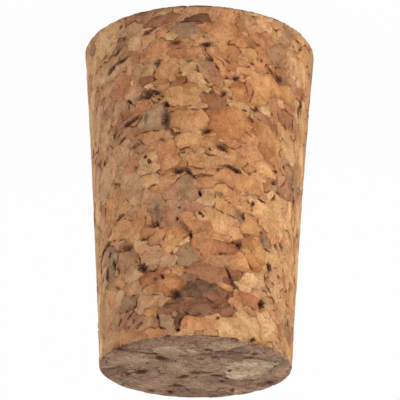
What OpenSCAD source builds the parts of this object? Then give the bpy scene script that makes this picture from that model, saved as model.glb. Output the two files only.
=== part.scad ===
// Tapered bottle stopper ground from agglomerated cork, in millimetres.
// It stands on its wide end: the origin is the centre of that face, and +Z runs
// along the axis to the narrow end, which is the end that goes into the bottle.

/* [Body] */
// Diameter of the wide end, which stays outside the neck
wide_d = 25; // [21:0.5:40]
// Diameter of the narrow end, which enters the neck first
narrow_d = 20; // [12:0.5:24]
// Length from one end face to the other
body_length = 36; // [20:0.5:60]
// How far the middle of the ground side lies inside a straight taper
side_hollow = 0.15; // [0:0.05:0.5]

/* [Edges] */
// Radius that handling has worn on the rim of the wide end
wide_edge_r = 0.4; // [0.1:0.05:1.5]
// Radius that handling has worn on the rim of the narrow end
narrow_edge_r = 0.25; // [0.1:0.05:1.5]

/* [Hidden] */

wide_r = wide_d / 2;
narrow_r = narrow_d / 2;
taper = (wide_r - narrow_r) / body_length;
hollow_slope = 4 * side_hollow / body_length;

// The side leans in from the axis direction by these angles at its two ends
wide_lean = atan(taper + hollow_slope);
narrow_lean = atan(taper - hollow_slope);

side_steps = 12;
edge_steps = 5;
round_fn = 180;
cork_colour = [0.78, 0.59, 0.41];

// Radius of the side at height z: a straight taper with a shallow parabolic hollow
function side_r(z) =
    let (t = z / body_length)
    wide_r - taper * z - 4 * side_hollow * t * (1 - t);

// Points on an arc of radius r about centre, from angle from_a to angle to_a
function edge_arc(centre, r, from_a, to_a) = [
    for (i = [0:edge_steps])
        let (a = from_a + (to_a - from_a) * i / edge_steps)
        centre + r * [cos(a), sin(a)]
];

// Worn rim of the wide end, tangent to its face and to the side
function wide_rim() = edge_arc(
    [wide_r - wide_edge_r * (tan(wide_lean) + 1 / cos(wide_lean)), wide_edge_r],
    wide_edge_r, -90, wide_lean);

// Worn rim of the narrow end, tangent to the side and to its face
function narrow_rim() = edge_arc(
    [narrow_r + narrow_edge_r * (tan(narrow_lean) - 1 / cos(narrow_lean)),
     body_length - narrow_edge_r],
    narrow_edge_r, narrow_lean, 90);

// The side between the two rims
function side_points() =
    let (low = wide_edge_r * (1 + sin(wide_lean)),
         high = body_length - narrow_edge_r * (1 - sin(narrow_lean)))
    [for (i = [1:side_steps - 1])
        let (z = low + (high - low) * i / side_steps)
        [side_r(z), z]];

// Half section of the stopper, from the axis outwards
module half_section() {
    polygon(concat([[0, 0]], wide_rim(), side_points(), narrow_rim(), [[0, body_length]]));
}

// One solid block of bonded cork granules, turned to its taper
module stopper_body() {
    color(cork_colour)
        rotate_extrude($fn = round_fn)
            half_section();
}

stopper_body();
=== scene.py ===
"""Visual model of a tapered bottle stopper ground from agglomerated cork, in a plain studio.

The stopper stands on its wide end at the origin, with +Z along its axis. Lengths are in millimetres
up to the point where a mesh, a lamp or the camera is handed over in metres. A place on the ground
side is given by its turn and its height: the turn is in degrees round from the front line, which
faces -Y, towards -X, and the height is above the wide face.
"""

import logging
import math
from dataclasses import dataclass
from enum import Enum

import bpy
import numpy as np
from mathutils import Matrix, Vector
from mathutils.kdtree import KDTree


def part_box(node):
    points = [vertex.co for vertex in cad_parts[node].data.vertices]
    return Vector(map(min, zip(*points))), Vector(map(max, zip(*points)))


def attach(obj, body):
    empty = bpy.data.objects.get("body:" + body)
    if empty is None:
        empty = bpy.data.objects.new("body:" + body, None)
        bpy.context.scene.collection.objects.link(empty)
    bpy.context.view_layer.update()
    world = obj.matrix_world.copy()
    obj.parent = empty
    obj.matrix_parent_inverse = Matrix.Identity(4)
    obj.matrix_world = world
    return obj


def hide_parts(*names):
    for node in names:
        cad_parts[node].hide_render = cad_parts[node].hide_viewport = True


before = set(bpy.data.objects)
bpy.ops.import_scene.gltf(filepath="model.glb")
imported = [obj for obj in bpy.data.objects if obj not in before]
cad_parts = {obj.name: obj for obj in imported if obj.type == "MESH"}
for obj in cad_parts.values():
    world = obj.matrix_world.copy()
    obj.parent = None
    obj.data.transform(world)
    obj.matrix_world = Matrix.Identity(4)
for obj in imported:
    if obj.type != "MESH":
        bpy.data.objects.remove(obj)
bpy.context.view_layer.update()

LOG = logging.getLogger("cork_stopper")
BODY_NODE = "stopper_body"
METRES = 0.001  # metres in a millimetre
SEED = 407  # start of the random numbers

Array = np.ndarray
Socket = bpy.types.NodeSocket
Sockets = dict[str, Socket]


class Zone(Enum):
    """Surfaces of the stopper that were finished in different ways."""

    SIDE = 0
    NARROW_FACE = 1
    WIDE_FACE = 2


class Tone(Enum):
    """Named granule colours, as sRGB bytes."""

    CREAM = (216, 173, 127)
    STRAW = (207, 164, 115)
    GOLD = (213, 164, 114)
    SAND = (195, 150, 108)
    HONEY = (200, 147, 97)
    AMBER = (197, 141, 96)
    COPPER = (191, 131, 84)
    RUST = (181, 121, 83)
    CLAY = (176, 128, 94)
    DRAB = (176, 138, 105)
    HAZEL = (165, 127, 95)
    BRICK = (165, 112, 80)
    PLUM = (145, 100, 74)
    COCOA = (128, 90, 65)
    UMBER = (122, 92, 70)
    # Tones of the sawn face: its own greyer colour, set darker than the side's partly as painted shade.
    BONE = (207, 183, 152)
    ASH = (190, 159, 131)
    FAWN = (179, 146, 120)
    TAUPE = (165, 132, 109)
    BARK = (145, 114, 93)

    def linear(self) -> Array:
        """The colour as linear red, green and blue."""
        share = np.array(self.value) / 255
        return np.where(share <= 0.04045, share / 12.92, ((share + 0.055) / 1.055) ** 2.4)


# Shares of the random granules.
SIDE_TONES = {
    Tone.CREAM: 0.04, Tone.STRAW: 0.14, Tone.SAND: 0.23, Tone.HONEY: 0.20, Tone.AMBER: 0.17,
    Tone.RUST: 0.06, Tone.CLAY: 0.09, Tone.DRAB: 0.04, Tone.PLUM: 0.02, Tone.COCOA: 0.01,
}
# The sawn face's tones are its own greyer colour, and partly painted shade that makes them darker than the
# side's.
FACE_TONES = {Tone.ASH: 0.22, Tone.FAWN: 0.38, Tone.TAUPE: 0.28, Tone.BARK: 0.12}


def smooth_step(low: float, high: float, value: Array) -> Array:
    """Rises smoothly from 0 at low to 1 at high.

    Args:
        low: Value that gives 0.
        high: Value that gives 1.
        value: Values to map.

    Returns:
        The mapped values.
    """
    share = np.clip((value - low) / (high - low), 0, 1)
    return share * share * (3 - 2 * share)


class LatticeNoise:
    """Smooth seeded noise in space, from random values on a lattice that repeats."""

    SIDE = 24  # lattice points along each side before it repeats

    def __init__(self, rng: np.random.Generator, channels: int) -> None:
        """Draws the lattice.

        Args:
            rng: Source of random numbers.
            channels: Values given for each point.
        """
        self.table = rng.uniform(-1, 1, (self.SIDE, self.SIDE, self.SIDE, channels))

    def sample(self, points: Array, pitch: float) -> Array:
        """Reads the noise.

        Args:
            points: Places in millimetres, one row each.
            pitch: Distance between lattice points, in millimetres.

        Returns:
            One row of channel values from -1 to 1 for each point.
        """
        scaled = points / pitch
        corner = np.floor(scaled).astype(int)
        part = scaled - corner
        part = part * part * (3 - 2 * part)
        total = np.zeros((len(points), self.table.shape[3]))
        for step in np.ndindex(2, 2, 2):
            weight = np.prod(np.where(step, part, 1 - part), axis=1)
            cell = (corner + step) % self.SIDE
            total += weight[:, None] * self.table[cell[:, 0], cell[:, 1], cell[:, 2]]
        return total


@dataclass
class Shell:
    """A closed mesh of triangles that can be cut along lines.

    Attributes:
        points: Places in millimetres, one row each.
        normals: Outward unit vectors, one row for each point.
        marks: Values kept for each point, which a new point takes from its edge's two ends.
        triangles: Three point numbers in each row, anticlockwise from outside.
    """

    points: Array
    normals: Array
    marks: Array
    triangles: Array

    # New triangles for each number of cuts. The old corners are a, b and c, the new points p between
    # a and b, q between b and c, r between c and a, and m is the middle.
    PARTS = {1: "apc pbc", 2: "pbq apq aqc", 3: "apr pbq rqc pqr"}
    HUB_PARTS = "apm pbm bqm qcm crm ram"

    def edges(self) -> tuple[Array, Array]:
        """Lists the edges.

        Returns:
            The edges as pairs of point numbers, lowest first, and for each triangle the numbers of
            the edges from its first to second, second to third and third to first point.
        """
        ends = np.stack([self.triangles, np.roll(self.triangles, -1, axis=1)], axis=2)
        ends.sort(axis=2)
        key = ends[..., 0].astype(np.int64) * len(self.points) + ends[..., 1]
        found, number = np.unique(key, return_inverse=True)
        pairs = np.stack([found // len(self.points), found % len(self.points)], axis=1)
        return pairs, number.reshape(key.shape)

    def split(self, marked: Array, share: Array, use_hub: bool) -> tuple["Shell", Array]:
        """Puts a point on each marked edge and divides the triangles there.

        Args:
            marked: True for each edge to divide, in the order of edges().
            share: Place of the new point from the edge's first to its second end, 0 to 1.
            use_hub: True to divide a triangle with three marked edges round a point at its
                middle, False to cut off its three corners.

        Returns:
            The new shell, whose first points are the old ones, then one for each marked edge,
            then the middles; and for each new triangle the old one that it lies in.
        """
        pairs, number = self.edges()
        ends = pairs[marked]
        index = np.full(len(pairs), -1)
        index[marked] = len(self.points) + np.arange(len(ends))
        cut = index[number]
        count = (cut >= 0).sum(axis=1)
        fields = []
        hubs = np.flatnonzero(count == 3) if use_hub else np.empty(0, int)
        along = share[marked][:, None]
        for values in (self.points, self.normals, self.marks):
            values = np.concatenate([values, values[ends[:, 0]] * (1 - along) + values[ends[:, 1]] * along])
            fields.append(np.concatenate([values, values[cut[hubs]].mean(axis=1)]))
        made = [self.triangles[count == 0]]
        parents = [np.flatnonzero(count == 0)]
        for cuts in (1, 2, 3):
            rows = np.flatnonzero(count == cuts)
            first = np.zeros(len(rows), int)
            if cuts == 1:
                first = np.argmax(cut[rows] >= 0, axis=1)
            elif cuts == 2:
                first = (np.argmax(cut[rows] < 0, axis=1) + 1) % 3
            order = (first[:, None] + np.arange(3)) % 3
            corners = np.take_along_axis(self.triangles[rows], order, axis=1).T
            middles = np.take_along_axis(cut[rows], order, axis=1).T
            hub = len(self.points) + len(ends) + np.arange(len(rows))
            at = dict(zip("abcpqrm", (*corners, *middles, hub)))
            parts = self.HUB_PARTS if cuts == 3 and use_hub else self.PARTS[cuts]
            for part in parts.split():
                made.append(np.stack([at[letter] for letter in part], axis=1))
                parents.append(rows)
        points, normals, kept = fields
        normals /= np.linalg.norm(normals, axis=1, keepdims=True)
        return Shell(points, normals, kept, np.concatenate(made)), np.concatenate(parents)


@dataclass(frozen=True)
class Outline:
    """The turned outline of the stopper, read from its CAD node.

    Attributes:
        radius: Radii in millimetres, from the wide face to the narrow face.
        height: The heights that they belong to.
    """

    radius: Array
    height: Array

    LEVEL_DIGITS = 2  # decimals of a millimetre that tell one ring of the mesh from the next

    @classmethod
    def from_node(cls, node: bpy.types.Object) -> "Outline":
        """Reads the outline from the node's own mesh.

        Args:
            node: The CAD body of the stopper.

        Returns:
            The outline, one point for each ring of the mesh.
        """
        places = np.zeros(len(node.data.vertices) * 3)
        node.data.vertices.foreach_get("co", places)
        places = places.reshape(-1, 3) / METRES
        levels = np.unique(np.round(places[:, 2], cls.LEVEL_DIGITS))
        radius = np.hypot(places[:, 0], places[:, 1])
        same = 10.0**-cls.LEVEL_DIGITS
        rings = [radius[np.abs(places[:, 2] - level) < same].max() for level in levels]
        return cls(np.array(rings), levels)

    @property
    def length(self) -> float:
        """Distance between the two end faces."""
        return float(self.height[-1])

    def radius_at(self, height: float) -> float:
        """Radius of the side at a height."""
        return float(np.interp(height, self.height, self.radius))


@dataclass(frozen=True)
class Blank:
    """The smooth stopper before its granules are cut, as rings of points on the outline.

    Attributes:
        outline: The turned outline.
        face_rings: Rings from the middle of an end face to its rim.
        row_gap: Distance between rings on the side, in millimetres.
        jitter: Share of the spacing by which points are moved out of line.
    """

    outline: Outline
    face_rings: int = 36
    row_gap: float = 0.27
    jitter: float = 0.22

    RING_STEP = 6  # points that each ring of an end face has more than the one inside it

    def build(self, rng: np.random.Generator, kept_values: int) -> Shell:
        """Lays out the rings and joins them with triangles.

        Args:
            rng: Source of random numbers.
            kept_values: Number of values that each point is to keep.

        Returns:
            The closed blank.
        """
        points, normals, angles, starts = [], [], [], [0]
        for number, (radius, height, lean, count) in enumerate(self._rings()):
            step = 2 * math.pi / count
            angles.append((np.arange(count) + 0.5 * (number % 2)) * step)
            moved = angles[-1] + rng.uniform(-self.jitter, self.jitter, count) * step
            round_x, round_y = np.cos(moved), np.sin(moved)
            points.append(np.stack([radius * round_x, radius * round_y, np.full(count, height)], 1))
            flat, up = math.cos(lean), math.sin(lean)
            normals.append(np.stack([flat * round_x, flat * round_y, np.full(count, up)], 1))
            starts.append(starts[-1] + count)
        bands = [
            self._stitch(angles[i], angles[i + 1], starts[i], starts[i + 1])
            for i in range(len(angles) - 1)
        ]
        places = np.concatenate(points)
        kept = np.zeros((len(places), kept_values))
        return Shell(places, np.concatenate(normals), kept, np.concatenate(bands))

    def _rings(self) -> list[tuple[float, float, float, int]]:
        """Works out the rings from the middle of the wide face to that of the narrow face.

        Returns:
            For each ring its radius, its height, the lean of its normal above the horizontal in
            radians, and the number of its points.
        """
        line_r, line_z = self.outline.radius, self.outline.height
        run = np.concatenate([[0], np.cumsum(np.hypot(np.diff(line_r), np.diff(line_z)))])
        at = np.linspace(0, run[-1], round(run[-1] / self.row_gap) + 1)
        wall_r, wall_z = np.interp(at, run, line_r), np.interp(at, run, line_z)
        wall_lean = np.arctan2(-np.gradient(wall_r, at), np.gradient(wall_z, at))
        quarter, top = math.pi / 2, self.outline.length
        counts = [self.RING_STEP * ring for ring in range(1, self.face_rings + 1)]
        share = np.arange(1, self.face_rings) / self.face_rings
        face = [(float(s * wall_r[0]), 0.0, -quarter, count) for s, count in zip(share, counts)]
        wall = [(float(r), float(z), float(a), counts[-1]) for r, z, a in zip(wall_r, wall_z, wall_lean)]
        lid = [(float(s * wall_r[-1]), top, quarter, count) for s, count in zip(share, counts)]
        return [(0.0, 0.0, -quarter, 1), *face, *wall, *lid[::-1], (0.0, top, quarter, 1)]

    @staticmethod
    def _stitch(low: Array, high: Array, low_at: int, high_at: int) -> Array:
        """Joins two rings with triangles.

        Args:
            low: Angles of the first ring's points.
            high: Angles of the next ring's points.
            low_at: Number of the first ring's first point.
            high_at: Number of the next ring's first point.

        Returns:
            The triangles as rows of point numbers.
        """
        full = 2 * math.pi
        next_low = np.append(low[1:], low[0] + full)
        next_high = np.append(high[1:], high[0] + full)
        here, there = np.arange(len(low)), np.arange(len(high))
        made = []
        if len(low) > 1:
            facing = np.searchsorted(next_high, next_low, side="left") % len(high)
            made.append(np.stack([here + low_at, (here + 1) % len(low) + low_at, facing + high_at], 1))
        if len(high) > 1:
            facing = np.searchsorted(next_low, next_high, side="right") % len(low)
            after = (there + 1) % len(high)
            made.append(np.stack([facing + low_at, after + high_at, there + high_at], 1))
        return np.concatenate(made)


@dataclass(frozen=True)
class Spot:
    """A place on the stopper's surface with its own directions.

    Attributes:
        centre: The place in millimetres.
        across: Unit vector along the surface, towards -X at the front.
        along: Unit vector along the surface, towards the wide end or the front.
        out: Unit vector out of the surface.
    """

    centre: Array
    across: Array
    along: Array
    out: Array


@dataclass(frozen=True)
class Surface:
    """Finds places on the stopper and the directions there.

    Attributes:
        outline: The turned outline.
    """

    outline: Outline

    FACE_LEAN = 0.7  # height of a unit vector that stands on an end face, not on the side

    def spot(self, zone: Zone, across: float, along: float) -> Spot:
        """Finds a place that is given by two numbers.

        Args:
            zone: The side or an end face.
            across: The turn in degrees on the side, or millimetres from the axis towards -X.
            along: The height on the side, or millimetres from the axis towards +Y.

        Returns:
            The place and its directions.
        """
        if zone is Zone.SIDE:
            angle = math.radians(across)
            out = np.array([-math.sin(angle), -math.cos(angle), 0.0])
            level = np.array([-math.cos(angle), math.sin(angle), 0.0])
            centre = out * self.outline.radius_at(along) + np.array([0, 0, along])
            return Spot(centre, level, np.array([0, 0, -1.0]), out)
        top = zone is Zone.NARROW_FACE
        centre = np.array([-across, along, self.outline.length if top else 0.0])
        out = np.array([0, 0, 1.0 if top else -1.0])
        return Spot(centre, np.array([-1.0, 0, 0]), np.array([0, -1.0, 0]), out)

    def spot_near(self, point: Array, normal: Array) -> Spot:
        """Finds the spot of a point that is already on the surface.

        Args:
            point: The place in millimetres.
            normal: The outward unit vector there.

        Returns:
            The place with its directions.
        """
        if abs(normal[2]) < self.FACE_LEAN:
            turn = math.degrees(math.atan2(-point[0], -point[1]))
            return self.spot(Zone.SIDE, turn, float(point[2]))
        zone = Zone.NARROW_FACE if normal[2] > 0 else Zone.WIDE_FACE
        return self.spot(zone, -point[0], point[1])


class Flakes:
    """Angular flat shapes on the surface, each with its own polygon outline.

    The reach of a flake at a point is 0 at the flake's centre, 1 on its outline and more outside.
    """

    CORNERS = 6
    CORNER_SHIFT = 0.42  # share of the angle between two corners by which each may be off
    CORNER_REACH = (0.80, 1.08)  # least and greatest share of the half size at a side
    THICKNESS = 0.9  # share of the width
    FAR = 9.0  # reach where no flake is near
    APART = 4.0  # added to the reach of a flake that lies on another surface
    CELL = 3.0  # side in millimetres of the cubes in which points are looked up together
    SEARCH_SHARE, SEARCH_MARGIN = 0.85, 1.2  # how far off a flake is looked for, from its size

    def __init__(self, rng: np.random.Generator) -> None:
        """Starts with no flakes.

        Args:
            rng: Source of random numbers.
        """
        self.rng = rng
        self.centres = np.empty((0, 3))
        self.frames = np.empty((0, 3, 3))
        self.cuts = np.empty((0, self.CORNERS, 2))
        self.sizes = np.empty((0, 2))
        self.zones: list[int] = []

    def add(self, spot: Spot, length: float, width: float, lean: float, zone: Zone = Zone.SIDE) -> None:
        """Adds a flake.

        Args:
            spot: Its centre and the directions there.
            length: Its long size in millimetres.
            width: Its short size in millimetres.
            lean: Degrees by which its long size turns from across to along.
            zone: Surface that it lies on.
        """
        angle = math.radians(lean)
        long_axis = math.cos(angle) * spot.across + math.sin(angle) * spot.along
        short_axis = math.cos(angle) * spot.along - math.sin(angle) * spot.across
        thick = width * self.THICKNESS
        rows = np.array([long_axis / length, short_axis / width, spot.out / thick]) * 2
        step = 2 * math.pi / self.CORNERS
        shift = self.rng.uniform(-self.CORNER_SHIFT, self.CORNER_SHIFT, self.CORNERS)
        turns = (np.arange(self.CORNERS) + shift) * step
        turns += self.rng.uniform(0, step)
        reach = self.rng.uniform(*self.CORNER_REACH, self.CORNERS)
        cut = np.stack([np.cos(turns), np.sin(turns)], 1) / reach[:, None]
        self.centres = np.concatenate([self.centres, spot.centre[None]])
        self.frames = np.concatenate([self.frames, rows[None]])
        self.cuts = np.concatenate([self.cuts, cut[None]])
        self.sizes = np.concatenate([self.sizes, [[length, width]]])
        self.zones.append(zone.value)

    def remove_last(self) -> None:
        """Takes the last flake away again."""
        self.centres, self.frames = self.centres[:-1], self.frames[:-1]
        self.cuts, self.sizes = self.cuts[:-1], self.sizes[:-1]
        self.zones.pop()

    def local(self, points: Array, which: Array) -> Array:
        """Gives points in the frames of flakes, in half sizes.

        Args:
            points: Places in millimetres, whose axes before the last match those of which.
            which: Numbers of the flakes.

        Returns:
            The long, short and outward coordinate of each point in its flake.
        """
        return np.einsum("...d,...ed->...e", points - self.centres[which], self.frames[which])

    def reach(self, points: Array, which: Array) -> Array:
        """Gives the reach of flakes at points, which are paired as in local().

        Args:
            points: Places in millimetres.
            which: Numbers of the flakes.

        Returns:
            The reach at each point.
        """
        local = self.local(points, which)
        flat = np.einsum("...e,...ke->...k", local[..., :2], self.cuts[which]).max(axis=-1)
        return np.hypot(np.maximum(flat, 0), local[..., 2])

    def nearest(self, points: Array, zones: Array | None = None) -> tuple[Array, Array]:
        """Finds the two flakes with the least reach at each point.

        Args:
            points: Places in millimetres, one row each.
            zones: Surface of each point, on which flakes of another surface count as far off.

        Returns:
            The numbers of the two flakes in two columns, and their reach. Far from every flake
            the number is -1 and the reach is FAR.
        """
        labels = np.full((len(points), 2), -1)
        values = np.full((len(points), 2), self.FAR)
        cells = np.floor(points / self.CELL).astype(int)
        _, group = np.unique(cells, axis=0, return_inverse=True)
        group = group.reshape(-1)
        order = np.argsort(group, kind="stable")
        span = self.sizes.max(axis=1) * self.SEARCH_SHARE + self.SEARCH_MARGIN
        for rows in np.split(order, np.flatnonzero(np.diff(group[order])) + 1):
            middle = points[rows].mean(axis=0)
            spread = np.linalg.norm(points[rows] - middle, axis=1).max()
            which = np.flatnonzero(np.linalg.norm(self.centres - middle, axis=1) < spread + span)
            if not len(which):
                continue
            paired = np.broadcast_to(which, (len(rows), len(which)))
            reach = self.reach(points[rows][:, None], paired)
            if zones is not None:
                reach += self.APART * (np.array(self.zones)[which] != zones[rows][:, None])
            best = np.argsort(reach, axis=1)[:, :2]
            labels[rows, : best.shape[1]] = which[best]
            values[rows, : best.shape[1]] = np.take_along_axis(reach, best, axis=1)
        return labels, values


@dataclass(frozen=True)
class SizeClass:
    """One size of granule in the mix.

    Attributes:
        length: Least and greatest long size in millimetres.
        slimness: Least and greatest width as a share of the length.
        tries: Number of places tried for each square millimetre of surface.
        overlap: Share of the granule that may lie on others.
        likeness: Share of its colour that it takes from the granule beside it.
    """

    length: tuple[float, float]
    slimness: tuple[float, float]
    tries: float
    overlap: float
    likeness: float


SIZE_CLASSES = (
    SizeClass((4.6, 6.2), (0.42, 0.68), 0.04, 0.04, 0.2),
    SizeClass((3.2, 4.6), (0.40, 0.75), 0.20, 0.06, 0.2),
    SizeClass((2.0, 3.2), (0.40, 0.80), 0.6, 0.08, 0.35),
    SizeClass((1.2, 2.0), (0.35, 0.80), 1.0, 0.10, 0.55),
    SizeClass((0.8, 1.2), (0.35, 0.70), 0.15, 0.05, 0.5),
)


@dataclass
class Cover:
    """What the granules so far cover, at test points all over the surface.

    Attributes:
        points: The test points in millimetres.
        normals: Their outward unit vectors.
        zones: Numbers of the surfaces that they lie on.
        reach: Least reach of a granule at each.
        owners: Number of that granule.
    """

    points: Array
    normals: Array
    zones: Array
    reach: Array
    owners: Array


@dataclass(frozen=True)
class Mark:
    """The outline of a granule or a pit that is listed.

    Attributes:
        across: Turn in degrees on the side, or millimetres towards -X on an end face.
        along: Height on the side, or millimetres towards +Y on an end face.
        length: Long size in millimetres.
        width: Short size in millimetres.
        lean: Degrees by which its long size turns from across to along.
        depth: Depth of a pit in millimetres.
    """

    across: float
    along: float
    length: float
    width: float
    lean: float = 0.0
    depth: float = 0.0


def marks(*rows: tuple[float, ...]) -> tuple[Mark, ...]:
    """Turns rows of numbers, in the order of Mark's fields, into marks."""
    return tuple(Mark(*row) for row in rows)


# The pale CREAM, STRAW and SAND granules set upright at turns of about 81 to 84 degrees either way lie
# along the outline that the camera sees at left and right, and lighten it as painted sheen.
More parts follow.
